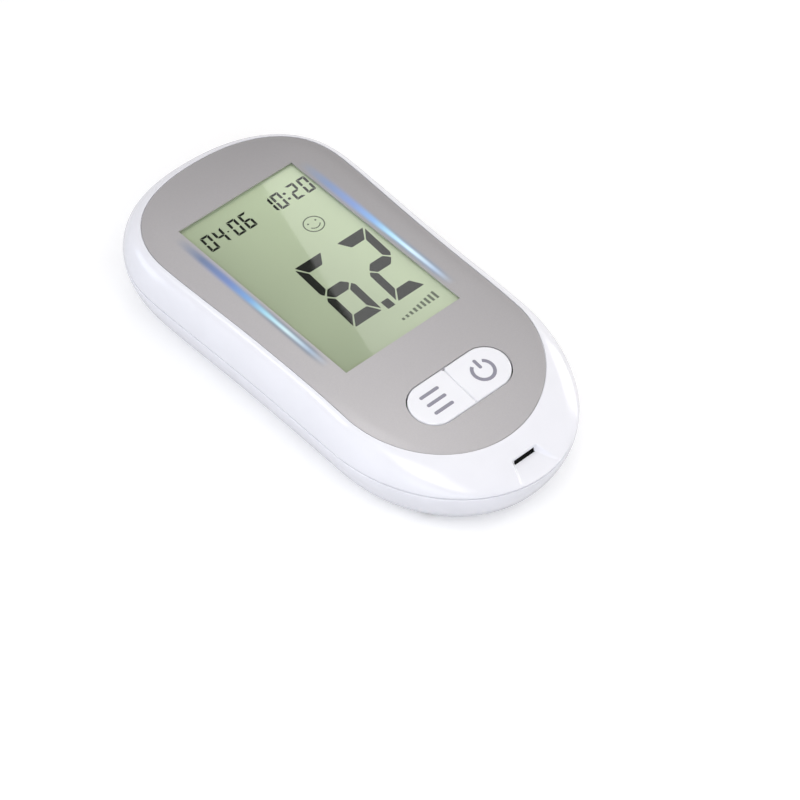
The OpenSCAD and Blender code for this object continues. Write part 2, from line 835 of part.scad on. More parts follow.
// Socket that takes the strip, let into the end of the board
module strip_connector() {
    color("ivory") {
        difference() {
            bar(connector_w, connector_y0, connector_y1, connector_z, connector_top);
            bar(slit_w + 2 * strip_room, connector_y0 - past, connector_y1 - connector_back,
                strip_floor_z, strip_floor_z + slit_h);
        }
        for (s = [-1, 1])
            translate([s * (connector_w / 2 + ear_w / 2 - play), 0, 0])
                bar(ear_w, board_y0 + strip_room, connector_y1, board_top + seat, connector_top);
    }
}

// Row of bent spring fingers in the connector's slot
module strip_contacts() {
    color("gold")
    for (i = [-2 : 2])
        translate([contact_pitch * i, connector_y0 + contact_start, strip_floor_z + seat])
            rotate([90, 0, 90])
                linear_extrude(contact_w, center = true)
                    polygon([[contact_ends[0] + contact_ease, contact_bow / 2],
                        [contact_bend[0], contact_bow], [contact_bend[1], 0],
                        [contact_ends[1], 0], [contact_ends[1], contact_t],
                        [contact_bend[1] + contact_ease, contact_t],
                        [contact_bend[0], contact_bow + contact_t],
                        [contact_ends[0], contact_bow / 2 + 0.75 * contact_t]]);
}

// Cell along Y with its button at the far end; turned by flip. Its bead is inset, step, turn
module cell(x, y, flip) {
    body = cell_l - button_l;
    rim = bead[0];
    step = bead[1];
    turn = bead[2];
    profile = [[0, 0], [cell_r - 3 * rim, 0], [cell_r - 3 * rim + step, step], [cell_r - rim, step],
        [cell_r, step + turn], [cell_r, body - step - turn], [cell_r - rim, body - step / 2],
        [cell_r - 4 * rim, body], [button_r, body], [button_r, cell_l - step],
        [button_r - step, cell_l], [0, cell_l]];
    translate([x, y, cell_z])
        rotate([flip ? 90 : -90, 0, 0])
            rotate_extrude()
                polygon(profile);
}

module battery_cell_left() {
    color("goldenrod")
    cell(-cell_x, near_cell_y, false);
}

module battery_cell_right() {
    color("goldenrod")
    cell(cell_x, far_cell_y + cell_l, true);
}

// Conical wire coil from the plate at y towards dir, wide end on the plate
module cell_spring(x, y, dir) {
    turns = 3.5;
    rings = 44;
    sides = 6;
    path = [for (i = [0 : rings])
        let (t = i / rings, a = 360 * turns * t, r = lerp(spring_r[0], spring_r[1], t))
        [x + r * cos(a), y + dir * (wire_r + (spring_l - 2 * wire_r) * t), cell_z + r * sin(a)]];
    points = [for (i = [0 : rings]) let (a = 360 * turns * i / rings) for (j = [0 : sides - 1])
        let (b = 360 * j / sides)
        path[i] + wire_r * [cos(a) * cos(b), dir * sin(b), sin(a) * cos(b)]];
    skin = [for (i = [0 : rings - 1]) for (j = [0 : sides - 1]) let (k = (j + 1) % sides)
        each [[i * sides + j, i * sides + k, i * sides + sides + k],
            [i * sides + j, i * sides + sides + k, i * sides + sides + j]]];
    ends = [[for (j = [sides - 1 : -1 : 0]) j], [for (j = [0 : sides - 1]) rings * sides + j]];
    faces = concat(skin, ends);
    polyhedron(points, dir > 0 ? [for (f = faces) turned(f)] : faces);
}

// Contact plate against an end wall of the bay, with an optional dimple
module contact_plate(x0, x1, y, dimple_x, dir) {
    block([x0, y, cell_z - plate_h / 2], [x1, y + plate_t, cell_z + plate_h / 2]);
    if (dir != 0)
        translate([dimple_x, y + plate_t / 2, cell_z]) rotate([-90 * dir, 0, 0])
            cylinder(r1 = dimple_r[0], r2 = dimple_r[1], h = plate_t / 2 + dimple_t);
}

module battery_positive_contact() {
    color("silver")
    contact_plate(plate_inset - 2 * cell_x, -plate_split, bay_y1 - slip - plate_t, -cell_x, -1);
}

module battery_negative_contact() {
    color("silver") {
        contact_plate(plate_split, 2 * cell_x - plate_inset, bay_y1 - slip - plate_t, 0, 0);
        cell_spring(cell_x, bay_y1 - slip - plate_t, -1);
    }
}

module battery_link_plate() {
    color("silver") {
        contact_plate(plate_inset - 2 * cell_x, 2 * cell_x - plate_inset, bay_y0 + slip, cell_x, 1);
        cell_spring(-cell_x, bay_y0 + slip + plate_t, 1);
    }
}

// Door with a rounded hinge edge, two pins, grip grooves and a spring leaf whose catch
// stops just short of the edge of its pocket
module battery_door() {
    color("white") {
        difference() {
            union() {
                bar(door_w, door_y0, hinge_y, base_z, base_z + door_t);
                translate([0, hinge_y, hinge_z]) rotate([0, 90, 0])
                    cylinder(r = knuckle_r, h = door_w, center = true);
                translate([0, hinge_y, hinge_z]) rotate([0, 90, 0])
                    cylinder(r = pin_r, h = door_w + 2 * pin_l, center = true);
                bar(leaf_w, leaf_y, door_y0 + past, leaf_z, base_z + door_t);
                bar(leaf_w, leaf_y, leaf_y + leaf_t, leaf_z, base_z + door_t + leaf_h);
            }
            for (i = [0 : 4])
                translate([0, door_y0 + grip_setback + grip_pitch * i, 0])
                    bar(grip[0], 0, grip[1], base_z - past, base_z + grip[2]);
        }
        translate([0, leaf_y, base_z + door_t + leaf_h - leaf_t]) rotate([0, 90, 0])
            cylinder(r = catch_r, h = catch_l, center = true);
    }
}

// Screw from below: head, shank and cross recess
module screw(head_r, head_t, core_r, length) {
    difference() {
        union() {
            pin(head_r, -head_t, 0);
            pin(core_r, -play, length - screw_tip);
            translate([0, 0, length - screw_tip]) cylinder(r1 = core_r, r2 = core_r / 5, h = screw_tip);
        }
        for (turn = [0, 90])
            rotate([0, 0, turn])
                bar(head_r * 1.2, -cross_w / 2, cross_w / 2, -head_t - past, -head_t * 0.4);
    }
}

module case_screws() {
    color("silver")
    both_sides(screws)
        translate([0, 0, head_seat_z - seat]) screw(screw_head_r, head_h, screw_r, screw_l);
}

module board_screws() {
    color("silver")
    for (y = post_ys)
        both_sides([[post_x, y]])
            translate([0, 0, board_z - seat])
                screw(board_head_r, board_head_h, board_screw_r, board_screw_l);
}

module rubber_feet() {
    color("gray")
    both_sides(feet) {
        pin(foot_r, foot_edge, base_z + foot_sunk - seat);
        cylinder(r1 = foot_r - foot_edge, r2 = foot_r, h = foot_edge);
    }
}

front_cover();
rear_cover();
face_overlay();
display_lens();
light_guide_left();
light_guide_right();
lcd_front_glass();
lcd_rear_glass();
backlight_panel();
lcd_frame();
zebra_strip();
circuit_board();
microcontroller();
memory_chip();
crystal();
chip_resistors();
chip_capacitors();
side_leds();
buzzer();
key_dome_left();
key_dome_right();
left_key();
right_key();
strip_connector();
strip_contacts();
battery_cell_left();
battery_cell_right();
battery_positive_contact();
battery_negative_contact();
battery_link_plate();
battery_door();
case_screws();
board_screws();
rubber_feet();
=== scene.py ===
"""Blood glucose meter: its looks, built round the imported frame.

Lengths are millimetres until a mesh or lamp is made. +X is right, +Y runs from the strip
port to the far end, +Z is up, and the origin is on the table under the housing."""
import json
import math

import bmesh
import bpy
from mathutils import Matrix, Vector

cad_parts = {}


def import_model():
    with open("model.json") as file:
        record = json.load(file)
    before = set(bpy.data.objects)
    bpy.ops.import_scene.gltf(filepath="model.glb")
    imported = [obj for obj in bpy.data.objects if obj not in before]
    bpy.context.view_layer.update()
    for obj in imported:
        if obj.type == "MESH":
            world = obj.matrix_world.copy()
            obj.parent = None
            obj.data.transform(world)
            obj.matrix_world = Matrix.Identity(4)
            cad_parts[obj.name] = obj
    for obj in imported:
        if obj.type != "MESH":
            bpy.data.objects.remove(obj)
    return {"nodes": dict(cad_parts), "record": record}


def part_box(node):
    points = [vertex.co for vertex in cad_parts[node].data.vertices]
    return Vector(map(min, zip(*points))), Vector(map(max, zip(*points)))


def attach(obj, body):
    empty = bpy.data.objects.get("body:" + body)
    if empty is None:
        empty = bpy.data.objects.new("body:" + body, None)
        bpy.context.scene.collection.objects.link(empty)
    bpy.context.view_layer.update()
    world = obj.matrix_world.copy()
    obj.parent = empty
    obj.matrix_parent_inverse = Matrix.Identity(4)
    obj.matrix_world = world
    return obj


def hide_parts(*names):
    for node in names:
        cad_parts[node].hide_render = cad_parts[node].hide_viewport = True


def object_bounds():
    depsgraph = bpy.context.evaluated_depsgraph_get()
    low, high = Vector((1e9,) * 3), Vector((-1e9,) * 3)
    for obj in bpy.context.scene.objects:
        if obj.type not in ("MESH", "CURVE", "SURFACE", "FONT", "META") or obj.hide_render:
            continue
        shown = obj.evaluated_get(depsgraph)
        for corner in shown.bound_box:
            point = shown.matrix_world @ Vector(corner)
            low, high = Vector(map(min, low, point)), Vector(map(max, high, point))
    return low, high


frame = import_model()
cad_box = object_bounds()
MM = 0.001


def box_mm(node):
    """Lowest and highest corner of a CAD node."""
    low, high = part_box(node)
    return Vector(low) / MM, Vector(high) / MM


# Sizes from the frame
BODY_LOW, BODY_HIGH = Vector(cad_box[0]) / MM, Vector(cad_box[1]) / MM
FILM_LOW, FILM_HIGH = box_mm("face_overlay")
LENS_LOW, LENS_HIGH = box_mm("display_lens")
GLASS_LOW, GLASS_HIGH = box_mm("lcd_front_glass")
BOARD_TOP = box_mm("circuit_board")[1].z
GUIDE_LOW, GUIDE_HIGH = box_mm("light_guide_right")
CELL_LOW, CELL_HIGH = box_mm("battery_cell_left")
FACE_Z = FILM_HIGH.z
NEAR_TIP, FAR_TIP = BODY_LOW.y, BODY_HIGH.y

# Housing
NOSE_W = 50.6
CREST_CAP, NOSE_CAP = 24, 30.6
CREST_POWER = 2.25
SEAM_Z, SEAM_GAP = 12.1, 0.3
WALL, ROOF_T = 1.8, 1.15
BASE_DRAW, BASE_DRAW_END, SIDE_POWER = 6.3, 7.2, 1.333
NOSE_FALL_L, NOSE_FALL_R, CREST_FALL_R = 41.65, 139, 83
SHOULDER_TILT = math.radians(11)
TONGUE_H, TONGUE_T = 1.2, 0.8
LIP_R = 0.16
BASE_Z = 0.4
SEAT, SLIP, PLAY, ROOT = 0.02, 0.05, 0.1, 0.5
GLASS_SLIP = 0.15
# How far a cut runs past the surface that it opens
OVER = 1

# Overlay and window
FACE_T, FACE_GAP = 0.35, 0.15
FACE_NOSE_W = 43.2
LENS_LAP = 0.7
FILM_EDGE, FILM_SOFT = 0.06, 0.3
FILM_SLOT_GAP = 0.01

# Keys
KEYS_W, KEYS_L = 23.2, 9.6
KEYS_Y = NEAR_TIP + 23
KEY_GAP, KEY_SPLIT, KEY_PROUD = 0.25, 0.08, 0.15
KEY_EDGE, SPLIT_EDGE = 0.32, 0.12
KEY_NOTCH_W, KEY_NOTCH_L = 0.8, 0.5
KEY_FULLNESS = 0.06

# Strip port
SLIT_W, SLIT_H, SLIT_Z = 5, 0.6, 13.6
SLIT_Y = NEAR_TIP + 5.3
STRIP_FLOOR_Z = SLIT_Z - SLIT_H / 2 - PLAY
SCOOP_LEAD, SCOOP_W, SCOOP_FALL = 0.3, 11, math.radians(8)
THROAT_L, PORT_W, PORT_LEAD, PORT_SKIN, PORT_LAP = 5.6, 9.2, 3, 0.3, 0.2
MOUTH_L, MOUTH_LEAD, MOUTH_RISE, MOUTH_SINK = 0.6, 0.34, 0.17, 0.05

# Derived, as in the solids
SEAM_TOP, SEAM_LOW = SEAM_Z + SEAM_GAP / 2, SEAM_Z - SEAM_GAP / 2
FLOOR_Z = BASE_Z + WALL
ROOF_DROP = FACE_T + ROOF_T
TONGUE_Z = SEAM_TOP - TONGUE_H
GROOVE_Z = TONGUE_Z - PLAY
CREST_Y, NOSE_Y = FAR_TIP - CREST_CAP, NEAR_TIP + NOSE_CAP
WINDOW_Y = (LENS_LOW.y + LENS_HIGH.y) / 2
WINDOW_W = LENS_HIGH.x - LENS_LOW.x - 2 * LENS_LAP
WINDOW_L = LENS_HIGH.y - LENS_LOW.y - 2 * LENS_LAP
NOSE_FALL_Y, CREST_FALL_Y = NEAR_TIP + NOSE_FALL_L, WINDOW_Y + WINDOW_L / 2 + 1
SEAM_OUTLINE = BODY_HIGH.x, NOSE_W / 2, CREST_CAP, NOSE_CAP
FACE_OUTLINE = FILM_HIGH.x, FACE_NOSE_W / 2, FILM_HIGH.y - CREST_Y, NOSE_Y - FILM_LOW.y
DRAW = BASE_DRAW, BASE_DRAW, BASE_DRAW_END, BASE_DRAW_END
KEY_R = KEYS_L / 2
KEY_X = KEYS_W / 2 - KEY_R
GUIDE_X = (GUIDE_LOW.x + GUIDE_HIGH.x) / 2


# ---- form of the housing

def lerp(a, b, t):
    """Value part way from a to b."""
    return a + (b - a) * t


def smooth(t):
    """Soft step from 0 to 1."""
    t = min(1, max(0, t))
    return t * t * (3 - 2 * t)


def swell(s):
    """Growth of the width from the strip half to the far half."""
    return s ** 4 * (5 - 4 * s)


def crown(y):
    """Height of the crowned face."""
    near, far = max(0, NOSE_FALL_Y - y), max(0, y - CREST_FALL_Y)
    return FACE_Z - near ** 2 / (2 * NOSE_FALL_R) - far ** 2 / (2 * CREST_FALL_R)


def shoulder_out(a):
    """Way of the shoulder outwards, from 0 at the crown to 1 at the side."""
    return (math.sin(a) - math.sin(SHOULDER_TILT)) / (1 - math.sin(SHOULDER_TILT))


def shoulder_drop(a):
    """Way of the shoulder down, from 0 at the crown to 1 at the seam."""
    return (math.cos(SHOULDER_TILT) - math.cos(a)) / math.cos(SHOULDER_TILT)


def side_in(a):
    """Way of the lower side inwards, from 0 at the seam to 1 at the base."""
    return 1 - max(0, math.cos(a)) ** SIDE_POWER


def side_drop(a):
    """Way of the lower side down, from 0 at the seam to 1 at the base."""
    return math.sin(a) ** SIDE_POWER


def mixed(a, b, t):
    """Outline part way from a to b."""
    return tuple(lerp(p, q, t) for p, q in zip(a, b))


def grown(outline, by):
    """Outline that is larger all round."""
    return tuple(size + by for size in outline)


RECESS_OUTLINE = grown(FACE_OUTLINE, FACE_GAP)
INNER_OUTLINE = grown(SEAM_OUTLINE, -WALL)

# Turns of the strip cap in degrees, close together round the port, and steps elsewhere
PORT_TURN, PORT_STEPS, CAP_STEPS, SIDE_STEPS = 15, 44, 30, 20
NEAR_TURNS = [PORT_TURN * i / PORT_STEPS for i in range(PORT_STEPS)]
NEAR_TURNS += [lerp(PORT_TURN, 90, i / CAP_STEPS) for i in range(CAP_STEPS)]
FAR_TURNS = [90 * i / CAP_STEPS for i in range(CAP_STEPS + 1)]


def outline(o):
    """Whole outline from the strip tip round the right-hand side, in one turn."""
    half_w, half_nose, far_cap, near_cap = o
    half = [(half_nose * math.sin(math.radians(t)), NOSE_Y - near_cap * math.cos(math.radians(t)))
            for t in NEAR_TURNS]
    for i in range(SIDE_STEPS):
        s = i / SIDE_STEPS
        half.append((lerp(half_nose, half_w, swell(s)), lerp(NOSE_Y, CREST_Y, s)))
    for t in FAR_TURNS:
        c, s = max(0, math.cos(math.radians(t))), max(0, math.sin(math.radians(t)))
        half.append((half_w * c ** (2 / CREST_POWER), CREST_Y + far_cap * s ** (2 / CREST_POWER)))
    half[-1] = (0, half[-1][1])
    return half + [(-x, y) for x, y in half[-2:0:-1]]


def ring(o, drop, z, t):
    """Ring of points part way from the crown, less drop, down to the height z."""
    return [(x, y, lerp(crown(y) - drop, z, t)) for x, y in outline(o)]


# ---- meshes

def piece_of(name, points, faces):
    """Object with a mesh of these points, given in millimetres."""
    mesh = bpy.data.meshes.new(name)
    mesh.from_pydata([tuple(c * MM for c in p) for p in points], [], faces)
    obj = bpy.data.objects.new(name, mesh)
    bpy.context.collection.objects.link(obj)
    return obj


def closed(obj):
    """Turns every face of a closed mesh outwards."""
    work = bmesh.new()
    work.from_mesh(obj.data)
    bmesh.ops.recalc_face_normals(work, faces=work.faces)
    work.to_mesh(obj.data)
    work.free()
    return obj


def grid_cap(rim, start, columns, points):
    """Faces of a grid across a ring that is the same on both sides; adds the grid's points.

    rim is the ring and start its first point's number. Rungs join the two sides, and each
    is split into columns."""
    n = len(rim)
    half = n // 2
    rungs = [[start]]
    for i in range(1, half):
        left, right = Vector(rim[n - i]), Vector(rim[i])
        inner = []
        for c in range(1, columns):
            inner.append(len(points))
            points.append(tuple(left.lerp(right, c / columns)))
        rungs.append([start + n - i] + inner + [start + i])
    rungs.append([start + half])
    faces = [(rungs[0][0], a, b) for a, b in zip(rungs[1], rungs[1][1:])]
    for low, high in zip(rungs[1:-2], rungs[2:-1]):
        faces += [(low[c], low[c + 1], high[c + 1], high[c]) for c in range(columns)]
    faces += [(a, rungs[-1][0], b) for a, b in zip(rungs[-2], rungs[-2][1:])]
    return faces


def side_faces(count, n):
    """Faces between rings of n points each."""
    return [(k * n + i, k * n + (i + 1) % n, (k + 1) * n + (i + 1) % n, (k + 1) * n + i)
            for k in range(count - 1) for i in range(n)]


def loft(name, rings, columns=1):
    """Closed solid through rings, with a grid across its first and last ring."""
    n = len(rings[0])
    points = [p for r in rings for p in r]
    faces = side_faces(len(rings), n)
    faces += grid_cap(rings[0], 0, columns, points)
    faces += grid_cap(rings[-1], (len(rings) - 1) * n, columns, points)
    return closed(piece_of(name, points, faces))


def tool_between(start, end):
    """Closed solid between two flat outlines of as many points, for a boolean step."""
    n = len(start)
    faces = side_faces(2, n) + [tuple(range(n)), tuple(range(n, 2 * n))]
    return closed(piece_of("tool", start + end, faces))


def prism(shape, z0, z1):
    """Upright solid with a flat outline."""
    return tool_between([(x, y, z0) for x, y in shape], [(x, y, z1) for x, y in shape])


def across(shape, w):
    """Solid along X with an outline given as y and z."""
    return tool_between([(-w / 2, y, z) for y, z in shape], [(w / 2, y, z) for y, z in shape])


def rectangle(x0, x1, y0, y1):
    """Outline of a box."""
    return [(x0, y0), (x1, y0), (x1, y1), (x0, y1)]


def bar(w, y0, y1, z0, z1):
    """Block of a width on the centreline."""
    return prism(rectangle(-w / 2, w / 2, y0, y1), z0, z1)


def disc(x, y, r, steps=64):
    """Outline of a circle."""
    turn = 2 * math.pi / steps
    return [(x + r * math.cos(turn * i), y + r * math.sin(turn * i)) for i in range(steps)]


def stadium(x, y, w, length, steps=24):
    """Outline with round ends, along Y where w is the smaller size and else along X."""
    r = min(w, length) / 2
    run = abs(length - w) / 2
    points = []
    for end in (0, 1):
        for i in range(steps + 1):
            a = math.pi * (i / steps + end)
            along, across = r * math.sin(a) + (run if end == 0 else -run), r * math.cos(a)
            points.append((x + across, y + along) if length > w else (x + along, y - across))
    return points


def ball(centre, r, steps=48):
    """Closed sphere, for cutting a shallow dish."""
    tool = piece_of("tool", [], [])
    work = bmesh.new()
    bmesh.ops.create_uvsphere(work, u_segments=steps, v_segments=steps // 2, radius=r * MM)
    bmesh.ops.translate(work, verts=work.verts, vec=Vector(centre) * MM)
    work.to_mesh(tool.data)
    work.free()
    return tool


def settle(obj):
    """Applies the modifiers of an object."""
    graph = bpy.context.evaluated_depsgraph_get()
    mesh = bpy.data.meshes.new_from_object(obj.evaluated_get(graph))
    obj.modifiers.clear()
    obj.data = mesh


def combine(obj, operation, tools):
    """Cuts the tools out of obj or joins them to it, and removes them."""
    for tool in tools:
        step = obj.modifiers.new("tool", "BOOLEAN")
        step.solver = "MANIFOLD"
        step.operation = operation
        step.object = tool
    bpy.context.view_layer.update()
    settle(obj)
    for tool in tools:
        bpy.data.objects.remove(tool)


def soften(obj, degrees=32):
    """Smooth shading, with edges sharper than the angle kept."""
    obj.data.shade_smooth()
    obj.data.set_sharp_from_angle(angle=math.radians(degrees))


def printed(name, patches, surface, thickness):
    """Thin raised print. Each patch is points in x and y and the faces between them."""
    obj = piece_of(name, [], [])
    work = bmesh.new()
    for points, faces in patches:
        verts = [work.verts.new((x * MM, y * MM, surface(x, y) * MM)) for x, y in points]
        for face in faces:
            work.faces.new([verts[i] for i in face])
    top = bmesh.ops.extrude_face_region(work, geom=work.faces[:])["geom"]
    lifted = [v for v in top if isinstance(v, bmesh.types.BMVert)]
    bmesh.ops.translate(work, verts=lifted, vec=(0, 0, thickness * MM))
    bmesh.ops.recalc_face_normals(work, faces=work.faces)
    work.to_mesh(obj.data)
    work.free()
    return obj


def flat_patch(points):
    """Patch of one face."""
    return points, [tuple(range(len(points)))]


def arc_patch(x, y, r, stroke, start, end, steps=40):
    """Curved stroke about a centre, from one angle to another in degrees; a ring at 360."""
    whole = abs(end - start) >= 360
    count = steps if whole else steps + 1
    angles = [math.radians(lerp(start, end, i / steps)) for i in range(count)]
    points = [(x + s * math.cos(a), y + s * math.sin(a))
              for s in (r - stroke / 2, r + stroke / 2) for a in angles]
    faces = []
    for i in range(steps):
        j = (i + 1) % count
        faces.append((i, count + i, count + j, j))
    return points, faces


def rounded(points, r, steps=4):
    """Polygon with its corners rounded off over the length r along each side."""
    result = []
    n = len(points)
    for i in range(n):
        corner = Vector(points[i])
        before = (Vector(points[i - 1]) - corner).normalized() * r
        after = (Vector(points[(i + 1) % n]) - corner).normalized() * r
        for k in range(steps + 1):
            t = k / steps
            p = corner + before * (1 - t) ** 2 + after * t ** 2
            result.append((p.x, p.y))
    return result


# ---- materials

def tint(red, green, blue):
    """Linear colour of a colour in 0 to 255."""
    return tuple(((c / 255 + 0.055) / 1.055) ** 2.4 if c > 10 else c / 255 / 12.92
                 for c in (red, green, blue))


def feed(socket, value):
    """Gives an input a constant, or a link from another socket."""
    if isinstance(value, bpy.types.NodeSocket):
        socket.id_data.links.new(value, socket)
    else:
        socket.default_value = value


def set_up(node, **values):
    """Feeds inputs of a node by their names, with _ for a space."""
    for name, value in values.items():
        feed(node.inputs[name.replace("_", " ")], value)
    return node


def added(tree, kind, **values):
    """New shader node in a tree, with its inputs set up."""
    return set_up(tree.nodes.new("ShaderNode" + kind), **values)


def finish_of(name, colour, roughness, **values):
    """Material and its Principled shader, with the shader's inputs set up."""
    mat = bpy.data.materials.new(name)
    mat.use_nodes = True
    shader = mat.node_tree.nodes["Principled BSDF"]
    return mat, set_up(shader, Base_Color=(*colour, 1), Roughness=roughness, **values)


def ranged(value, source, target):
    """Maps a socket from one range to another."""
    node = added(value.id_data, "MapRange", Value=value, From_Min=source[0], From_Max=source[1],
                 To_Min=target[0], To_Max=target[1])
    return node.outputs["Result"]


def place_parts(tree, kind="Object"):
    """Sockets with X, Y and Z of the place in the row frame, or of another kind of place."""
    place = added(tree, "TexCoord").outputs[kind]
    return added(tree, "SeparateXYZ", Vector=place).outputs


def blend(share, first, second):
    """Mix of two shaders, all of the second where the share is 1."""
    mix = added(share.id_data, "MixShader", Fac=share)
    feed(mix.inputs[1], first)
    feed(mix.inputs[2], second)
    return mix.outputs["Shader"]


def mix_colours(share, first, second):
    """Mix of two colours, all of the second where the share is 1."""
    mix = added(share.id_data, "Mix")
    mix.data_type = "RGBA"
    return set_up(mix, Factor=share, A=first, B=second).outputs["Result"]


def maths(operation, *values, kind="Math"):
    """Node for an operation on sockets and constants, the first of them a socket."""
    node = added(values[0].id_data, kind)
    node.operation = operation
    for socket, value in zip(node.inputs, values):
        feed(socket, value)
    return node.outputs["Value"]


def noise(tree, grain_mm, detail=2.0):
    """Noise in the row frame, with cells about grain_mm across."""
    place = added(tree, "TexCoord").outputs["Object"]
    texture = added(tree, "TexNoise", Vector=place, Scale=1 / (grain_mm * MM), Detail=detail)
    return texture.outputs["Fac"]


NOISE_MIDDLE = 0.3, 0.7


def spread(source, low, high):
    """Maps a noise's middle range to the range from low to high."""
    return ranged(source, NOISE_MIDDLE, (low, high))


def mottle(shader, colour, amount, grain_mm, detail=2.0):
    """Lets the colour vary a little, lighter and darker, and gives its socket."""
    share = spread(noise(shader.id_data, grain_mm, detail), 0, 1)
    darker = (*(c * (1 - amount) for c in colour), 1)
    lighter = (*(min(1, c * (1 + amount)) for c in colour), 1)
    uneven = mix_colours(share, darker, lighter)
    set_up(shader, Base_Color=uneven)
    return uneven


def gloss_range(shader, low, high, grain_mm):
    """Lets the roughness vary, as handling does."""
    set_up(shader, Roughness=spread(noise(shader.id_data, grain_mm, 3.0), low, high))


def relief(shader, height_mm, grain_mm):
    """Fine unevenness of the surface."""
    height = noise(shader.id_data, grain_mm)
    bump = added(shader.id_data, "Bump", Height=height, Distance=height_mm * MM)
    set_up(shader, Normal=bump.outputs["Normal"])


def plastic(name, colour, roughness, relief_mm=0.002, grain_mm=0.4, shade=0.015):
    """Moulded plastic, rubber or resin: slight mottle, handled gloss and fine relief."""
    mat, shader = finish_of(name, colour, roughness)
    mottle(shader, colour, shade, 9)
    gloss_range(shader, roughness * 0.85, roughness * 1.15, 3)
    relief(shader, relief_mm, grain_mm)
    return mat


def metal(name, colour, roughness, grain_mm=0.25):
    """Plated or drawn metal."""
    mat, shader = finish_of(name, colour, roughness, Metallic=1.0)
    mottle(shader, colour, 0.05, 1.5)
    gloss_range(shader, roughness * 0.7, roughness * 1.3, grain_mm)
    relief(shader, 0.001, grain_mm)
    return mat


GLASS_IOR, GLASS_SIDES, GLASS_TINT = 1.5, 1.9, (0.985, 0.99, 0.985)


def lens_finish():
    """Clear lens: what is behind it shows, and its top mirrors for both faces by the angle."""
    mat = bpy.data.materials.new("clear_lens")
    mat.use_nodes = True
    tree = mat.node_tree
    tree.nodes.remove(tree.nodes["Principled BSDF"])
    clear = added(tree, "BsdfTransparent", Color=(*GLASS_TINT, 1))
    mirror = added(tree, "BsdfGlossy", Roughness=spread(noise(tree, 6), 0.015, 0.035))
    share = added(tree, "Fresnel", IOR=GLASS_IOR).outputs["Fac"]
    behind = added(tree, "NewGeometry").outputs["Backfacing"]
    top = maths("SUBTRACT", maths("MULTIPLY", behind, -1), -1)
    facing = maths("MULTIPLY", maths("MULTIPLY", share, GLASS_SIDES), top)
    surface = blend(facing, clear.outputs["BSDF"], mirror.outputs["BSDF"])
    set_up(tree.nodes["Material Output"], Surface=surface)
    return mat


def display_finish():
    """Grey-green reflective display, a little uneven, and painted lighter to the right and far end
    and darker to the left.
    """
    colour = tint(196, 208, 178)
    mat, shader = finish_of("lcd_glass", colour, 0.6, Specular_IOR_Level=0.15)
    uneven = mottle(shader, colour, 0.06, 26, 1)
    # Painted light and shade across the display
    set_up(shader, Base_Color=painted_gradient(uneven, *DISPLAY_PAINTED_GRADIENT))
    relief(shader, 0.001, 0.1)
    return mat


def ink_finish(name, colour, amount=0.06):
    """Printed or polarised dark marks."""
    mat, shader = finish_of(name, colour, 0.55, Specular_IOR_Level=0.15)
    mottle(shader, colour, amount, 0.5)
    relief(shader, 0.001, 0.1)
    return mat


def ramp_along_y(y, stops):
    """Colour that changes along the meter. Each stop is y in millimetres and a colour."""
    first, last = stops[0][0], stops[-1][0]
    ramp = added(y.id_data, "ValToRGB", Fac=ranged(y, (first * MM, last * MM), (0, 1)))
    elements = ramp.color_ramp.elements
    elements[0].color = (*stops[0][1], 1)
    elements[1].color = (*stops[-1][1], 1)
    for place, colour in stops[1:-1]:
        elements.new((place - first) / (last - first)).color = (*colour, 1)
    return ramp.outputs["Color"]


def fade(distance, reach):
    """Smooth fall from 1 at no distance to 0 at the reach, a value in metres or a socket."""
    result = ranged(distance, (0, reach), (1, 0))
    result.node.interpolation_type = "SMOOTHERSTEP"
    return result


DARK, BRIGHT = (0, 0, 0), (1, 1, 1)
FILM_COLOUR = tint(194, 191, 192)
# Painted blue shade beside the guides, on the film and the guides' tops
GUIDE_SHADE_COLOUR = tint(142, 160, 184)
GLOW_X, GUIDE_SHADE_REACH = GUIDE_X - 0.15, 1.6
# The painted glow is narrow up to the first place along the meter and widens to the second
GLOW_REACHES = (4, 0.8), (24, 2)
# Share of the painted blue shade beside the guides, along the meter
GUIDE_SHADE_SHARES = (-11, DARK), (-6, BRIGHT), (26, BRIGHT), (34, DARK)
# Colours of the glow painted as emission along the guides, on the film and the guides' tops
GLOW_COLOURS = (
    (-11, DARK), (-5, tint(146, 156, 165)), (1, tint(188, 210, 205)), (7, tint(135, 187, 197)),
    (12, tint(62, 118, 172)), (18, tint(40, 62, 134)), (26, tint(20, 20, 70)), (33, DARK))
# Painted light and shade: brightness in the middle of the meter, and its change for each millimetre
# right and far
# Film: painted lighter towards the near left, darker towards the far right
FILM_PAINTED_GRADIENT = 0.966, -0.0053, -0.0022
# Blue shade beside the guides: painted lighter to the right, darker to the left
GUIDE_SHADE_PAINTED_GRADIENT = 0.99, 0.011, 0
# Display: painted lighter to the right and far end, darker to the left and near end
DISPLAY_PAINTED_GRADIENT = 1, 0.011, 0.003


def painted_gradient(colour, middle, per_x, per_y):
    """Colour painted evenly lighter and darker across the meter: painted light and shade, as the
    studio lamps would give.
    """
    tree = colour.id_data
    place = added(tree, "TexCoord").outputs["Object"]
    fall = maths("DOT_PRODUCT", place, (per_x / MM, per_y / MM, 0), kind="VectorMath")
    scaled = added(tree, "VectorMath")
    scaled.operation = "SCALE"
    feed(scaled.inputs[0], colour)
    feed(scaled.inputs["Scale"], maths("ADD", fall, middle))
    return scaled.outputs["Vector"]


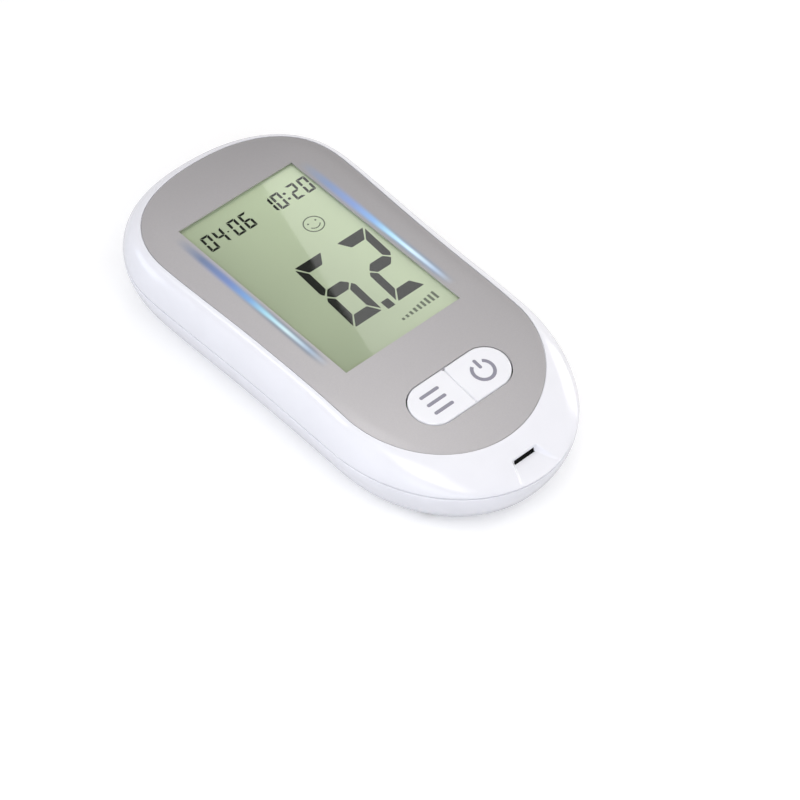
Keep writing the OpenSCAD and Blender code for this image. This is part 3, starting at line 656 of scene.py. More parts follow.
def lit_film(name, relief_mm, grain_mm):
    """Satin silver-grey film with painted light and shade across it, painted blue shade beside both
    guides and a painted glow along them.
    """
    mat, shader = finish_of(name, FILM_COLOUR, 0.3, Metallic=0.15)
    x, y, _ = place_parts(mat.node_tree)
    away = maths("ABSOLUTE", maths("SUBTRACT", maths("ABSOLUTE", x), GLOW_X * MM))
    # Painted light and shade across the film
    grey = painted_gradient(mottle(shader, FILM_COLOUR, 0.02, 0.3), *FILM_PAINTED_GRADIENT)
    strip = added(mat.node_tree, "RGB").outputs["Color"]
    feed(strip, (*GUIDE_SHADE_COLOUR, 1))
    # Painted blue shade near the guides, fading out along the meter
    blue_shade_share = maths("MULTIPLY", fade(away, GUIDE_SHADE_REACH * MM), ramp_along_y(y, GUIDE_SHADE_SHARES))
    # Painted glow: emission along the guides that widens along the meter
    (near, narrow), (far, wide) = GLOW_REACHES
    reach = ranged(y, (near * MM, far * MM), (narrow * MM, wide * MM))
    set_up(shader, Base_Color=mix_colours(blue_shade_share, grey, painted_gradient(strip, *GUIDE_SHADE_PAINTED_GRADIENT)),
           Emission_Color=ramp_along_y(y, GLOW_COLOURS), Emission_Strength=fade(away, reach))
    relief(shader, relief_mm, grain_mm)
    return mat


SLEEVE_BAND = 0.7


def sleeve_finish():
    """Cell: dark sleeve, copper-coloured at one end."""
    mat, shader = finish_of("cell_sleeve", tint(70, 72, 78), 0.3, Coat_Weight=0.6)
    low, high = CELL_LOW.y, CELL_HIGH.y
    dark, copper = tint(60, 62, 68), tint(196, 138, 84)
    stops = (low, dark), (lerp(low, high, SLEEVE_BAND), copper), (high, copper)
    band = ramp_along_y(place_parts(mat.node_tree)["Y"], stops)
    band.node.color_ramp.interpolation = "CONSTANT"
    set_up(shader, Base_Color=band)
    gloss_range(shader, 0.24, 0.36, 2)
    relief(shader, 0.002, 0.5)
    return mat


# Colour in 0 to 255 and roughness; for some the height and grain of the relief, and the mottle
PLASTICS = {
    "shell_white": ((242, 242, 247), 0.16, 0.0015, 0.5),
    "backlight_white": ((236, 242, 234), 0.35),
    "frame_black": ((40, 40, 42), 0.5, 0.006, 0.12),
    "contact_rubber": ((224, 150, 146), 0.6, 0.004, 0.1),
    "board_green": ((30, 112, 66), 0.35, 0.004, 0.3),
    "chip_black": ((34, 34, 35), 0.5, 0.005, 0.08),
    "chip_ceramic": ((160, 142, 120), 0.5, 0.003, 0.08),
    "led_package": ((216, 226, 240), 0.2),
    "connector_ivory": ((228, 224, 212), 0.45),
    "key_white": ((244, 244, 248), 0.2, 0.0015, 0.5),
    "foot_rubber": ((96, 96, 99), 0.75, 0.012, 0.15, 0.05),
}
# The guides' tops lie in the overlay and look as it does, a little coarser
FINISHES = {
    "overlay_grey": lit_film("overlay_grey", 0.001, 0.2),
    "light_guide": lit_film("light_guide", 0.002, 0.12),
    "clear_lens": lens_finish(),
    "lcd_glass": display_finish(),
    "bright_steel": metal("bright_steel", tint(205, 205, 207), 0.28),
    "contact_gold": metal("contact_gold", tint(225, 185, 105), 0.25),
    "cell_sleeve": sleeve_finish(),
}
for plastic_name, (plastic_colour, *values) in PLASTICS.items():
    FINISHES[plastic_name] = plastic(plastic_name, tint(*plastic_colour), *values)
# Near-black painted shade for the walls inside the slit and its mouth
PORT_PAINTED_SHADE = plastic("port_painted_shade", tint(8, 8, 9), 0.7, 0.004, 0.1)
SEGMENT_INK = ink_finish("segment_ink", tint(40, 43, 38))
PALE_INK = ink_finish("pale_ink", tint(92, 105, 80))
KEY_INK = ink_finish("key_ink", tint(148, 146, 158), 0.03)


def add_piece(obj, body, slot, *nodes, finish=None):
    """Gives a piece its slot's finish or another, hides the frame's nodes it stands for, and
    attaches it to the body it rides on.
    """
    obj.data.materials.clear()
    obj.data.materials.append(finish or FINISHES[slot])
    if nodes:
        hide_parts(*nodes)
    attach(obj, body)


# ---- fasteners

SCREWS = (17.605, 37.05), (13.8, -37.6)
SCREW_HOLE_R, HEAD_SEAT_Z, SLEEVE_R, SPLIT_Z, SHANK_R = 1.95, 2.4, 2.7, 8, 1.12
PILLAR_R, PILOT_R, PILOT_TOP = 2.3, 0.85, 12.9
POSTS = (19.205, -8), (19.205, 24)
POST_R, POST_PILOT_R, POST_PILOT_L = 1.7, 0.63, 2.9


def pairs(places, r, z0, z1):
    """Upright cylinders at both sides of the meter."""
    return [prism(disc(s * x, y, r), z0, z1) for x, y in places for s in (-1, 1)]


# ---- front cover

# Angles of the shoulder's rings in degrees, close together where the slit's wall stands
WALL_FIRST, WALL_LAST = 36, 29
LOW_STEPS, WALL_STEPS, TOP_STEPS = 36, 24, 12
LOW_STEP, WALL_STEP = 1.5, 0.3
SHOULDER_RINGS = [90 - LOW_STEP * i for i in range(LOW_STEPS)]
SHOULDER_RINGS += [WALL_FIRST - WALL_STEP * i for i in range(WALL_STEPS)]
SHOULDER_RINGS += [lerp(WALL_LAST, math.degrees(SHOULDER_TILT), (i + 1) / TOP_STEPS)
                   for i in range(TOP_STEPS)]
ROOF_STEPS, LIP_STEPS, PORT_ROOF_STEPS = 10, 4, 4
WALL_SOFT, SIDE_SOFT, FLOOR_SOFT = 0.16, 0.8, 0.12


def scooped(point):
    """Lowers a point of the shoulder into the scoop that leads a strip into the slit."""
    x, y, z = point
    ahead = SLIT_Y - y
    if ahead < -WALL_SOFT or abs(x) > SCOOP_W / 2 + SIDE_SOFT:
        return point
    half_w = lerp(SLIT_W / 2 + SCOOP_LEAD, SCOOP_W / 2, ahead / (SLIT_Y - NEAR_TIP + 1))
    inside = smooth((half_w - abs(x)) / SIDE_SOFT + 0.5) * smooth(ahead / WALL_SOFT + 0.5)
    above = z - (STRIP_FLOOR_Z - ahead * math.tan(SCOOP_FALL))
    depth = (above + math.hypot(above, FLOOR_SOFT)) / 2 - FLOOR_SOFT / 2
    return x, y, z - inside * max(0, depth)


def lip_rings(o, z, up):
    """Rounded edge of a cover along the parting line, from its flat to its side."""
    rings = []
    for i in range(LIP_STEPS + 1):
        a = math.pi / 2 * i / LIP_STEPS
        inwards, lift = LIP_R * (1 - math.sin(a)), LIP_R * (1 - math.cos(a))
        rings.append(ring(grown(o, -inwards), 0, z + up * lift, 1))
    return rings


def nose_top(y):
    """Height of the shoulder over the centreline, ahead of the overlay."""
    reach = (NOSE_Y - RECESS_OUTLINE[3] - y) / (SEAM_OUTLINE[3] - RECESS_OUTLINE[3])
    rise = math.sin(SHOULDER_TILT) + max(0, reach) * (1 - math.sin(SHOULDER_TILT))
    return lerp(crown(y), SEAM_TOP, shoulder_drop(math.asin(min(1, rise))))


def port_block():
    """Solid nose under the scoop and behind it, which the slit runs through."""
    back, low = SLIT_Y + THROAT_L - SLIP, SEAM_LOW - PORT_LAP
    outline_yz = [(back, low), (SLIT_Y - PORT_LEAD, low)]
    for y in (-PORT_LEAD, 0, WALL_SOFT):
        floor_z = STRIP_FLOOR_Z + min(0, y) * math.tan(SCOOP_FALL)
        outline_yz.append((SLIT_Y + y, floor_z - PORT_SKIN))
    for i in range(PORT_ROOF_STEPS + 1):
        y = lerp(SLIT_Y + WALL_SOFT, back, i / PORT_ROOF_STEPS)
        outline_yz.append((y, nose_top(y) - WALL / 2))
    return across(outline_yz, PORT_W)


def slit():
    """Slit for the strip, flared upwards at its mouth and with its lower lip cut back."""
    low, high = SLIT_Z - SLIT_H / 2, SLIT_Z + SLIT_H / 2
    front, sill = SLIT_Y - MOUTH_LEAD, STRIP_FLOOR_Z - MOUTH_SINK
    mouth = [(front, sill), (SLIT_Y, sill), (SLIT_Y + MOUTH_L, low), (SLIT_Y + MOUTH_L, high),
             (SLIT_Y + WALL_SOFT, high + MOUTH_RISE), (front, high + MOUTH_RISE)]
    return [across(mouth, SLIT_W), bar(SLIT_W, SLIT_Y, SLIT_Y + THROAT_L + OVER, low, high)]


def key_hole():
    """Opening for both keys."""
    shape = stadium(0, KEYS_Y, KEYS_W + 2 * KEY_GAP, KEYS_L + 2 * KEY_GAP, steps=40)
    return prism(shape, SEAM_Z, FACE_Z)


GUIDE_W, GUIDE_L = 1.4, 43


def guide_slots(gap):
    """Slots for the tops of both light guides."""
    size = GUIDE_W + 2 * gap, GUIDE_L + 2 * gap
    return [prism(stadium(s * GUIDE_X, WINDOW_Y, *size), SEAM_Z, FACE_Z + OVER) for s in (-1, 1)]


def shoulder_outline(a):
    """Outline of the shoulder where its surface leans by the angle."""
    return mixed(RECESS_OUTLINE, SEAM_OUTLINE, shoulder_out(a))


def room_round(low, high, gap, z0, z1):
    """Block round a centred piece's plan, larger by a gap on each side."""
    return bar(high.x - low.x + 2 * gap, low.y - gap, high.y + gap, z0, z1)


def front_rings():
    """Rings of the front cover from the inside of its roof round its edge to its recess."""
    rings = []
    for i in range(ROOF_STEPS + 1):
        a = lerp(SHOULDER_TILT, math.pi / 2, i / ROOF_STEPS)
        rings.append(ring(grown(shoulder_outline(a), -WALL), ROOF_DROP, SEAM_TOP, shoulder_drop(a)))
    tongue = grown(INNER_OUTLINE, TONGUE_T)
    rings.append(ring(INNER_OUTLINE, 0, TONGUE_Z, 1))
    rings += [ring(tongue, 0, z, 1) for z in (TONGUE_Z, SEAM_TOP)]
    rings += lip_rings(SEAM_OUTLINE, SEAM_TOP, 1)
    for angle in SHOULDER_RINGS[1:]:
        a = math.radians(angle)
        outer = ring(shoulder_outline(a), 0, SEAM_TOP + LIP_R, shoulder_drop(a))
        rings.append([scooped(p) for p in outer])
    rings.append(ring(RECESS_OUTLINE, FACE_T, 0, 0))
    return rings


def front_shell():
    """Front cover with its screw pillars, board posts and openings."""
    shell = loft("front_shell", front_rings())
    joined = [port_block()]
    for place in SCREWS:
        roof_z = crown(place[1]) - ROOF_DROP
        joined += pairs([place], PILLAR_R, SPLIT_Z + SLIP, roof_z + ROOT)
    joined += pairs(POSTS, POST_R, BOARD_TOP + SLIP, FACE_Z - ROOF_DROP + ROOT)
    combine(shell, "UNION", joined)
    cuts = [room_round(LENS_LOW, LENS_HIGH, PLAY, SEAM_Z, FACE_Z),
            room_round(GLASS_LOW, GLASS_HIGH, GLASS_SLIP, BOARD_TOP, GLASS_HIGH.z + SLIP),
            key_hole()]
    cuts += slit()
    cuts += pairs(SCREWS, PILOT_R, SPLIT_Z - OVER, PILOT_TOP)
    cuts += pairs(POSTS, POST_PILOT_R, BOARD_TOP - OVER, BOARD_TOP + POST_PILOT_L)
    cuts += guide_slots(SLIP)
    combine(shell, "DIFFERENCE", cuts)
    soften(shell)
    add_piece(shell, "meter", "shell_white", "front_cover")
    # Painted shade inside the slit and its mouth
    paint_throat_shade(shell)
    return shell


def paint_throat_shade(shell):
    """Paints shade on the walls inside the slit and its mouth with a near-black finish."""
    shell.data.materials.append(PORT_PAINTED_SHADE)
    for face in shell.data.polygons:
        x, y, z = face.center / MM
        along = -SEAT < y - SLIT_Y + MOUTH_LEAD < MOUTH_LEAD + THROAT_L + 1
        inside = STRIP_FLOOR_Z - MOUTH_SINK - SEAT < z < SLIT_Z + SLIT_H / 2 + MOUTH_RISE + SEAT
        if along and inside and abs(x) < SLIT_W / 2 + SEAT:
            face.material_index = 1


# ---- rear cover

DOOR_GAP, KNUCKLE_R, BAY_WALL = 0.15, 0.9, 1.1
DOOR_T = 1.4
BAY_Y0, BAY_Y1, BAY_IN_W = -19.8, 30.0, 21.9
BAY_TOP_Z, BAY_ROOF_Z = 13.5, 12.7
DOOR_W = BAY_IN_W + 2 * BAY_WALL + 0.5
HINGE_Y, HINGE_Z = BAY_Y1 + BAY_WALL + 1.5, BASE_Z + KNUCKLE_R
DOOR_Y0 = BAY_Y0 - BAY_WALL - 0.5
LEAF_W, LEAF_T = 6, 0.8
PIN_HOLE_R, PIN_REACH = 0.6, 1.4
RIB_T, RIB_L, RIB_TOP = 1, 4, SEAM_Z - 3
RIB_YS = BAY_Y0 + 6, (BAY_Y0 + BAY_Y1) / 2, BAY_Y1 - 6
LEAF_Y = DOOR_Y0 - LEAF_T
LEAF_SIDE, LEAF_POCKET = 0.2, 0.3
RIM_Z, RIM_SIDE, RIM_END = BASE_Z + 3, 1.6, 2.4
FEET = (9.5, 40.5), (7.5, -40)
FOOT_R, FOOT_SUNK = 3, 0.6
NOTCH_R, NOTCH_DEPTH, NOTCH_Y = 9, 1.2, DOOR_Y0 - 2
SOUND_W, SOUND_L, SOUND_PITCH, SOUND_Y, SOUND_COUNT = 0.9, 7, 2, DOOR_Y0 - 9, 3
INNER_STEPS, OUTER_STEPS = 12, 36


def belly_ring(o, a, top, bottom):
    """Ring of the lower side where it leans by the angle."""
    outline_there = tuple(p - side_in(a) * d for p, d in zip(o, DRAW))
    return ring(outline_there, 0, lerp(top, bottom, side_drop(a)), 1)


def rear_rings():
    """Rings of the rear cover from the inside of its floor round its edge to its base."""
    rings = []
    for i in range(INNER_STEPS + 1):
        a = math.pi / 2 * (INNER_STEPS - i) / INNER_STEPS
        rings.append(belly_ring(INNER_OUTLINE, a, GROOVE_Z, FLOOR_Z))
    socket = grown(INNER_OUTLINE, TONGUE_T + PLAY)
    rings += [ring(socket, 0, z, 1) for z in (GROOVE_Z, SEAM_LOW)]
    rings += lip_rings(SEAM_OUTLINE, SEAM_LOW, -1)
    for i in range(1, OUTER_STEPS + 1):
        a = math.pi / 2 * i / OUTER_STEPS
        rings.append(belly_ring(SEAM_OUTLINE, a, SEAM_LOW - LIP_R, BASE_Z))
    return rings


def bay_walls():
    """What stands on the floor of the rear cover: bay, rim of the door, ribs and sleeves."""
    root_z = FLOOR_Z - ROOT
    bay_w = BAY_IN_W + 2 * BAY_WALL
    rim_w = DOOR_W + 2 * DOOR_GAP + 2 * RIM_SIDE
    walls = [bar(bay_w, BAY_Y0 - BAY_WALL, BAY_Y1 + BAY_WALL, root_z, BAY_TOP_Z),
             bar(rim_w, LEAF_Y - RIM_SIDE, HINGE_Y + RIM_END, root_z, RIM_Z)]
    walls += [bar(bay_w + 2 * RIB_L, y - RIB_T / 2, y + RIB_T / 2, root_z, RIB_TOP) for y in RIB_YS]
    return walls + pairs(SCREWS, SLEEVE_R, root_z, SPLIT_Z)


def door_cuts():
    """Room for the cells, the door with its hinge and leaf, and the thumb notch."""
    under_z = BASE_Z - OVER
    pocket_w = DOOR_W + 2 * DOOR_GAP
    knuckle = [(HINGE_Y + y, HINGE_Z + z) for y, z in disc(0, 0, KNUCKLE_R + DOOR_GAP)]
    pin = [(HINGE_Y + y, HINGE_Z + z) for y, z in disc(0, 0, PIN_HOLE_R, steps=32)]
    return [bar(BAY_IN_W, BAY_Y0, BAY_Y1, under_z, BAY_ROOF_Z),
            bar(pocket_w, DOOR_Y0 - DOOR_GAP, HINGE_Y, under_z, BASE_Z + DOOR_T + PLAY),
            bar(pocket_w, HINGE_Y, HINGE_Y + KNUCKLE_R + DOOR_GAP, under_z, HINGE_Z),
            across(knuckle, pocket_w),
            across(pin, DOOR_W + 2 * PIN_REACH),
            bar(LEAF_W + 2 * LEAF_SIDE, LEAF_Y - LEAF_POCKET, BAY_Y0 - BAY_WALL, under_z,
                RIM_Z + OVER),
            ball((0, NOTCH_Y, BASE_Z + NOTCH_DEPTH - NOTCH_R), NOTCH_R)]


def sound_slots():
    """Slots under the buzzer."""
    shapes = [stadium(0, SOUND_Y - SOUND_PITCH * i, SOUND_L, SOUND_W) for i in range(SOUND_COUNT)]
    return [prism(shape, -OVER, FLOOR_Z + 2 * OVER) for shape in shapes]


def rear_shell():
    """Rear cover with its bay, screw sleeves and openings."""
    shell = loft("rear_shell", rear_rings())
    combine(shell, "UNION", bay_walls())
    cuts = door_cuts()
    cuts += pairs(SCREWS, SCREW_HOLE_R, -OVER, HEAD_SEAT_Z)
    cuts += pairs(SCREWS, SHANK_R, 0, SPLIT_Z + OVER)
    cuts += pairs(FEET, FOOT_R + SLIP, -OVER, BASE_Z + FOOT_SUNK)
    combine(shell, "DIFFERENCE", cuts + sound_slots())
    soften(shell)
    add_piece(shell, "meter", "shell_white", "rear_cover")
    return shell


# ---- overlay and keys

def overlay_film():
    """Crowned film with a small bevel round its edge, and its openings."""
    soft = FILM_SOFT * FILM_EDGE
    # How far each ring lies inside the outline, and under the crown
    steps = ((SEAT, FACE_T - SEAT), (0, FACE_T - 2 * SEAT), (0, FILM_EDGE), (soft, soft),
             (FILM_EDGE, 0))
    rings = [ring(grown(FACE_OUTLINE, -inset), drop, 0, 0) for inset, drop in steps]
    film = loft("overlay_film", rings, columns=16)
    window = bar(WINDOW_W, WINDOW_Y - WINDOW_L / 2, WINDOW_Y + WINDOW_L / 2, SEAM_Z, FACE_Z + OVER)
    combine(film, "DIFFERENCE", [window, key_hole()] + guide_slots(FILM_SLOT_GAP))
    soften(film)
    add_piece(film, "meter", "overlay_grey", "face_overlay")


def key_outline(side, inset, steps=28):
    """Outline of one key, smaller all round by inset."""
    r = KEY_R - inset
    inner = KEY_SPLIT / 2 + min(inset, SPLIT_EDGE)
    points = [(inner, r)]
    points += [(KEY_X + r * math.sin(math.pi * i / steps), r * math.cos(math.pi * i / steps))
               for i in range(steps + 1)]
    points.append((inner, -r))
    return [(side * x, KEYS_Y + y) for x, y in points]


def key_top(x, y):
    """Height of the keys' surface, a little fuller in the middle."""
    fullness = 1 - min(1, ((abs(x) - KEY_X / 2) / (KEYS_W / 3)) ** 2)
    return crown(y) + KEY_PROUD - KEY_FULLNESS * (1 - fullness) * smooth(abs(y - KEYS_Y) / KEY_R)


KEY_EDGE_STEPS, KEY_TOP_STEPS = 6, 10
# Where the rings of a key's top close, as a share of KEY_X
KEY_POLE = 0.75


def key_rings(side, centre):
    """Rings of a key from its foot up its side, round its edge and in towards its centre."""
    rings = [[(x, y, crown(y) - ROOF_DROP) for x, y in key_outline(side, 0)]]
    for i in range(KEY_EDGE_STEPS + 1):
        a = math.pi / 2 * i / KEY_EDGE_STEPS
        drop = KEY_EDGE * (1 - math.sin(a))
        rings.append([(x, y, key_top(x, y) - drop)
                      for x, y in key_outline(side, KEY_EDGE * (1 - math.cos(a)))])
    for i in range(1, KEY_TOP_STEPS):
        scale = 1 - i / KEY_TOP_STEPS
        flat = [(lerp(centre[0], x, scale), lerp(centre[1], y, scale))
                for x, y in key_outline(side, KEY_EDGE)]
        rings.append([(x, y, key_top(x, y)) for x, y in flat])
    return rings


def key_cap(name, side):
    """Key with a rounded top edge, from its surface down through the face."""
    centre = (side * KEY_X * KEY_POLE, KEYS_Y)
    rings = key_rings(side, centre)
    n = len(rings[0])
    points = [p for r in rings for p in r]
    last, pole = len(points) - n, len(points)
    points.append((*centre, key_top(*centre)))
    faces = side_faces(len(rings), n)
    faces += [(last + i, last + (i + 1) % n, pole) for i in range(n)]
    faces.append(tuple(range(n)))
    cap = closed(piece_of(name, points, faces))
    notch = bar(KEY_NOTCH_W, KEYS_Y + KEY_R - KEY_NOTCH_L, KEYS_Y + KEY_R + OVER,
                crown(KEYS_Y) - FACE_T - PLAY, FACE_Z + OVER)
    combine(cap, "DIFFERENCE", [notch])
    soften(cap, 40)
    return cap


ICON_STROKE, ICON_T, ICON_X = 0.72, 0.015, 5.85
LIST_L, LIST_PITCH = 4.7, 2.1
RING_R, RING_SHIFT, RING_ENDS = 2.2, -0.2, (125, 415)
RING_BAR_L, RING_BAR_SHIFT = 2.4, 1.5


def list_icon():
    """Three bars with round ends."""
    return [flat_patch(stadium(-ICON_X, KEYS_Y + LIST_PITCH * i, LIST_L, ICON_STROKE, steps=10))
            for i in (-1, 0, 1)]


def ring_icon():
    """Open ring with a bar in its gap."""
    arc = arc_patch(ICON_X, KEYS_Y + RING_SHIFT, RING_R, ICON_STROKE, *RING_ENDS)
    mark = stadium(ICON_X, KEYS_Y + RING_BAR_SHIFT, ICON_STROKE, RING_BAR_L, steps=10)
    return [arc, flat_patch(mark)]


def keys():
    """Both key caps with their printed marks."""
    for name, side, icon in (("left_key", -1, list_icon()), ("right_key", 1, ring_icon())):
        cap = key_cap(name + "_cap", side)
        add_piece(cap, name, "key_white", name)
        mark = printed(name + "_icon", icon, key_top, ICON_T)
        add_piece(mark, name, "key_white", finish=KEY_INK)


# ---- display

SEGMENTS = {"0": "abcdef", "1": "bc", "2": "abdeg", "4": "bcfg", "6": "acdefg"}
BIG_DIGIT = dict(size=(7.1, 19.4), strokes=(1.72, 2.7), gap=0.22, tip=0.5, slant=0.066,
                 corner=0.25)
SMALL_DIGIT = dict(size=(2.1, 4.5), strokes=(0.55, 0.55), gap=0.05, tip=0.15, slant=0.07,
                   corner=0.08)
# Steps along a row of small digits, and how far a 1 starts to the left of its place
DIGIT_STEP, ONE_STEP, ONE_SHIFT, COLON_STEP, DOT_STEP = 2.85, 1.2, 1.3, 1.15, 0.95
# Dots of a colon and the single dot: shift, height, and the colon's second dot from its first
DOT_X, COLON_R, COLON_Y, COLON_UP, COLON_LEAN = 0.2, 0.34, 1.4, 1.7, 0.1
DOT_R, DOT_Y = 0.2, 2.35
INK_T = 0.008
INK_Z = GLASS_HIGH.z + 0.004


# Cuts at the joints of a digit's segments, as shares of the gap and of the stroke
CUT_W, CUT_TIP, CUT_RISE = 0.8, 1.6, 0.45


def digit(char, x, y, size, strokes, gap, tip, slant, corner):
    """Patches of a seven-segment digit with its lower left corner at x, y."""
    w, h = size
    sx, sy = strokes
    mid = h / 2
    wide = gap * CUT_W
    top = [(gap, h), (w - gap, h), (w - sx - wide, h - sy), (sx + wide, h - sy)]
    middle = [(tip + gap, mid), (sx + wide, mid + sy / 2), (w - sx - wide, mid + sy / 2),
              (w - tip - gap, mid), (w - sx - wide, mid - sy / 2), (sx + wide, mid - sy / 2)]
    upper_left = [(0, h - 2 * gap), (sx, h - sy - gap), (sx, mid + sy / 2 + gap),
                  (tip, mid + CUT_TIP * gap), (0, mid + sy * CUT_RISE)]
    shapes = {
        "a": top,
        "b": [(w - px, py) for px, py in upper_left],
        "c": [(w - px, h - py) for px, py in upper_left],
        "d": [(px, h - py) for px, py in top],
        "e": [(px, h - py) for px, py in upper_left],
        "f": upper_left,
        "g": middle,
    }
    patches = []
    for segment in SEGMENTS[char]:
        shape = [(x + px + py * slant, y + py) for px, py in shapes[segment]]
        patches.append(flat_patch(rounded(shape, corner)))
    return patches


def row_of(text, x, y):
    """Small digits in a row; x is the left edge of the first."""
    patches = []
    for char in text:
        if char in SEGMENTS:
            start = x - ONE_SHIFT if char == "1" else x
            patches += digit(char, start, y, **SMALL_DIGIT)
            x += ONE_STEP if char == "1" else DIGIT_STEP
        elif char == ":":
            for i in (0, 1):
                dot_x, dot_y = x + DOT_X + COLON_LEAN * i, y + COLON_Y + COLON_UP * i
                patches.append(flat_patch(disc(dot_x, dot_y, COLON_R, steps=14)))
            x += COLON_STEP
        else:
            patches.append(flat_patch(disc(x + DOT_X, y + DOT_Y, DOT_R, steps=12)))
            x += DOT_STEP
    return patches


def flat_ink(*_):
    """Height of the display's marks, the same everywhere."""
    return INK_Z


# Plain face: its place, its circle, its mouth and its eyes
FACE_X, FACE_Y = 7.15, 19.8
FACE_R, FACE_STROKE = 2.1, 0.26
MOUTH_R, MOUTH_STROKE, MOUTH_SHIFT, MOUTH_ENDS = 1.35, 0.24, 0.2, (212, 328)
EYE_R, EYE_X, EYE_Y = 0.22, 0.95, 0.65


def face_mark():
    """Round face with two eyes and a curved mouth."""
    circle = arc_patch(FACE_X, FACE_Y, FACE_R, FACE_STROKE, 0, 360, steps=64)
    mouth = arc_patch(FACE_X, FACE_Y + MOUTH_SHIFT, MOUTH_R, MOUTH_STROKE, *MOUTH_ENDS)
    eyes = [disc(FACE_X + s * EYE_X, FACE_Y + EYE_Y, EYE_R, steps=16) for s in (-1, 1)]
    return [circle, mouth] + [flat_patch(eye) for eye in eyes]


# Row of bars: its ends, its foot, its count, and the width and the first and last height
LEVEL_X0, LEVEL_X1, LEVEL_Y, LEVEL_COUNT = 3.0, 12.3, -11.2, 9
LEVEL_W, LEVEL_LOW, LEVEL_HIGH = 0.55, 0.6, 2.1


def level_marks():
    """Plain row of bars, each a little higher than the last."""
    patches = []
    for i in range(LEVEL_COUNT):
        share = i / (LEVEL_COUNT - 1)
        x = lerp(LEVEL_X0, LEVEL_X1 - LEVEL_W, share)
        top = LEVEL_Y + lerp(LEVEL_LOW, LEVEL_HIGH, share)
        patches.append(flat_patch(rectangle(x, x + LEVEL_W, LEVEL_Y, top)))
    return patches


# Lower left corners of the digits, and the sides of the point between them
BIG_DIGITS = ("6", -5.15, -6.4), ("2", 5.45, -6.75)
POINT, POINT_R = (2.85, 4.65, -7.05, -4.75), 0.15
SMALL_ROWS = ("04.06", -12.65, 27.0), ("10:20", 3.9, 26.95)


def display_marks():
    """Dark segments and pale symbols on the display's glass."""
    dark = []
    for place in BIG_DIGITS:
        dark += digit(*place, **BIG_DIGIT)
    dark.append(flat_patch(rounded(rectangle(*POINT), POINT_R)))
    for place in SMALL_ROWS:
        dark += row_of(*place)
    pale = face_mark() + level_marks()
    inks = ("lcd_segments", dark, SEGMENT_INK), ("lcd_symbols", pale, PALE_INK)
    for name, patches, ink in inks:
        marks = printed(name, patches, flat_ink, INK_T)
        add_piece(marks, "meter", "lcd_glass", finish=ink)


# ---- studio

CAMERA_AZIMUTH, CAMERA_ELEVATION, CAMERA_ROLL = -41.91, 48.57, 0.09
CAMERA_PLACE = -263.2, -306.8, 446.6
CAMERA_LENS, CAMERA_SENSOR = 137.8, 36


def set_place(obj, place, right, up, back):
    """Links an object and places it with its own three directions."""
    turn = Matrix((right, up, back)).transposed().to_4x4()
    obj.matrix_world = Matrix.Translation(place * MM) @ turn
    bpy.context.collection.objects.link(obj)


def camera():
    """Camera that was fitted to the photo."""
    az, el, roll = (math.radians(a) for a in (CAMERA_AZIMUTH, CAMERA_ELEVATION, CAMERA_ROLL))
    back = Vector((math.sin(az) * math.cos(el), -math.cos(az) * math.cos(el), math.sin(el)))
    level = Vector((math.cos(az), math.sin(az), 0))
    upright = back.cross(level)
    right = level * math.cos(roll) + upright * math.sin(roll)
    up = upright * math.cos(roll) - level * math.sin(roll)
    data = bpy.data.cameras.new("camera")
    data.lens = CAMERA_LENS
    data.sensor_width = CAMERA_SENSOR
    data.clip_start = 0.01
    obj = bpy.data.objects.new("camera", data)
    set_place(obj, Vector(CAMERA_PLACE), right, up, back)
    bpy.context.scene.camera = obj


FILL, FILL_COLOUR = 0.61, (1, 0.985, 0.985)
MIRROR_LOW, MIRROR_HIGH = 0.5, 0.05
MIRROR_BAND = 0.2, 0.55


def world():
    """White to the camera; to mirrors a bright horizon under a dim sky; else an even fill."""
    scene_world = bpy.data.worlds.new("studio")
    bpy.context.scene.world = scene_world
    scene_world.use_nodes = True
    tree = scene_world.node_tree
    fill = set_up(tree.nodes["Background"], Color=(*FILL_COLOUR, 1), Strength=FILL)
    path = added(tree, "LightPath").outputs
    height = place_parts(tree, "Generated")["Z"]
    mirrored = ranged(height, MIRROR_BAND, (MIRROR_LOW, MIRROR_HIGH))
    mirrored.node.interpolation_type = "SMOOTHSTEP"
    result = fill.outputs["Background"]
    for ray, strength in (("Is Glossy Ray", mirrored), ("Is Camera Ray", 1)):
        view = added(tree, "Background", Color=(*BRIGHT, 1), Strength=strength)
        result = blend(path[ray], result, view.outputs["Background"])
    set_up(tree.nodes["World Output"], Surface=result)


FLOOR_HALF, FLOOR_LIFT = 4000, 0.3


def floor():
    """Pale floor that shows as white and keeps the shadow; it is open from below."""
    plan = rectangle(-FLOOR_HALF, FLOOR_HALF, -FLOOR_HALF, FLOOR_HALF)
    plane = piece_of("floor", [(x, y, -SEAT) for x, y in plan], [(0, 1, 2, 3)])
    mat, shader = finish_of("floor", (0.8, 0.8, 0.8), 0.9)
    tree = mat.node_tree
    seen = added(tree, "LightPath").outputs["Is Camera Ray"]
    glow = added(tree, "Emission", Strength=maths("MULTIPLY", seen, FLOOR_LIFT))
    pale = added(tree, "AddShader")
    feed(pale.inputs[0], shader.outputs["BSDF"])
    feed(pale.inputs[1], glow.outputs["Emission"])
    below = added(tree, "NewGeometry").outputs["Backfacing"]
    clear = added(tree, "BsdfTransparent").outputs["BSDF"]
    surface = blend(below, pale.outputs["Shader"], clear)
    set_up(tree.nodes["Material Output"], Surface=surface)
    plane.data.materials.append(mat)


def area_lamp(name, width, height, radiance, colour=(1, 1, 1)):
    """Area lamp of a given brightness, not yet placed."""
    data = bpy.data.lights.new(name, "AREA")
    data.shape = "RECTANGLE"
    data.size, data.size_y = width * MM, height * MM
    data.energy = radiance * math.pi * data.size * data.size_y
    data.color = colour
    return bpy.data.objects.new(name, data)


LAMP_AIM = Vector((0, 0, 10))


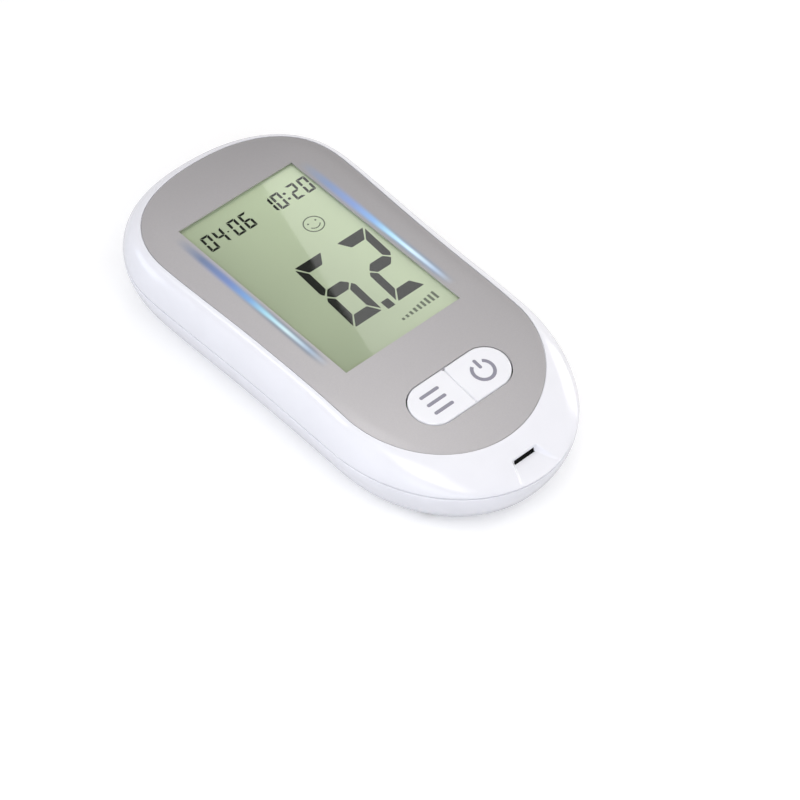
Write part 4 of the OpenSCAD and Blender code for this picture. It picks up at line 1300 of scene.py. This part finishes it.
def softbox(name, place, size, radiance, colour=(1, 1, 1)):
    """Area lamp that faces the meter."""
    obj = area_lamp(name, *size, radiance, colour)
    place = Vector(place)
    obj.location = place * MM
    obj.rotation_euler = (LAMP_AIM - place).to_track_quat("-Z", "Y").to_euler()
    bpy.context.collection.objects.link(obj)


LAMP_DISTANCE = 900
# Places on the lens where its top shows the long edge of a lamp
GLARE_EDGE, GLARE_W, GLARE_MARGIN, GLARE_RADIANCE = ((6.3, 34), (-7.3, -13.5)), 85, 60, 1.3


def glare_panel():
    """Lamp on the right of the line through both places, as the lens mirrors it."""
    ends, rays = [], []
    for x, y in GLARE_EDGE:
        spot = Vector((x, y, LENS_HIGH.z))
        ray = (spot - Vector(CAMERA_PLACE)).normalized()
        ray.z = -ray.z
        ends.append(spot + ray * LAMP_DISTANCE)
        rays.append(ray)
    edge = (ends[0] - ends[1]).normalized()
    facing = (rays[0] + rays[1]).normalized()
    side = edge.cross(facing).normalized()
    facing = side.cross(edge)
    height = (ends[0] - ends[1]).length + 2 * GLARE_MARGIN
    obj = area_lamp("glare_panel", GLARE_W, height, GLARE_RADIANCE)
    set_place(obj, (ends[0] + ends[1]) / 2 + side * GLARE_W / 2, side, edge, facing)


# Solids in view whose edges are broken, and by how much
EDGES = {"battery_door": 0.12, "case_screws": 0.06, "rubber_feet": 0.1, "battery_cell_left": 0.08,
         "battery_cell_right": 0.08, "strip_connector": 0.06}
WELD_GAP, BEVEL_ANGLE, BEVEL_STEPS = 0.001, 40, 2


def dress_solids():
    """Gives every solid of the frame the finish of its slot, and softens edges in view."""
    for part in frame["record"]["subparts"]:
        solid = frame["nodes"][part["node"]]
        solid.data.materials.clear()
        solid.data.materials.append(FINISHES[part["material_slot"]])
        if part["node"] in EDGES:
            weld = solid.modifiers.new("weld", "WELD")
            weld.merge_threshold = WELD_GAP * MM
            bevel = solid.modifiers.new("edges", "BEVEL")
            bevel.width = EDGES[part["node"]] * MM
            bevel.segments = BEVEL_STEPS
            bevel.limit_method = "ANGLE"
            bevel.angle_limit = math.radians(BEVEL_ANGLE)
            bevel.use_clamp_overlap = True


dress_solids()
front_shell()
rear_shell()
overlay_film()
keys()
display_marks()
camera()
world()
floor()
softbox("key_light", (-640, 480, 820), (240, 240), 5.7)
softbox("side_fill", (-620, -560, 330), (700, 380), 1.5, (0.64, 0.75, 1))
softbox("far_fill", (-400, 450, 80), (300, 200), 2.6, (0.75, 0.84, 1))
glare_panel()
softbox("nose_lamp", (-70, -95, 170), (90, 90), 3.5, (1, 0.99, 0.95))
softbox("right_fill", (460, -60, 90), (160, 400), 4.2)
softbox("top_panel", (150, 170, 800), (300, 300), 1.3)
bpy.context.scene.view_settings.view_transform = "Standard"
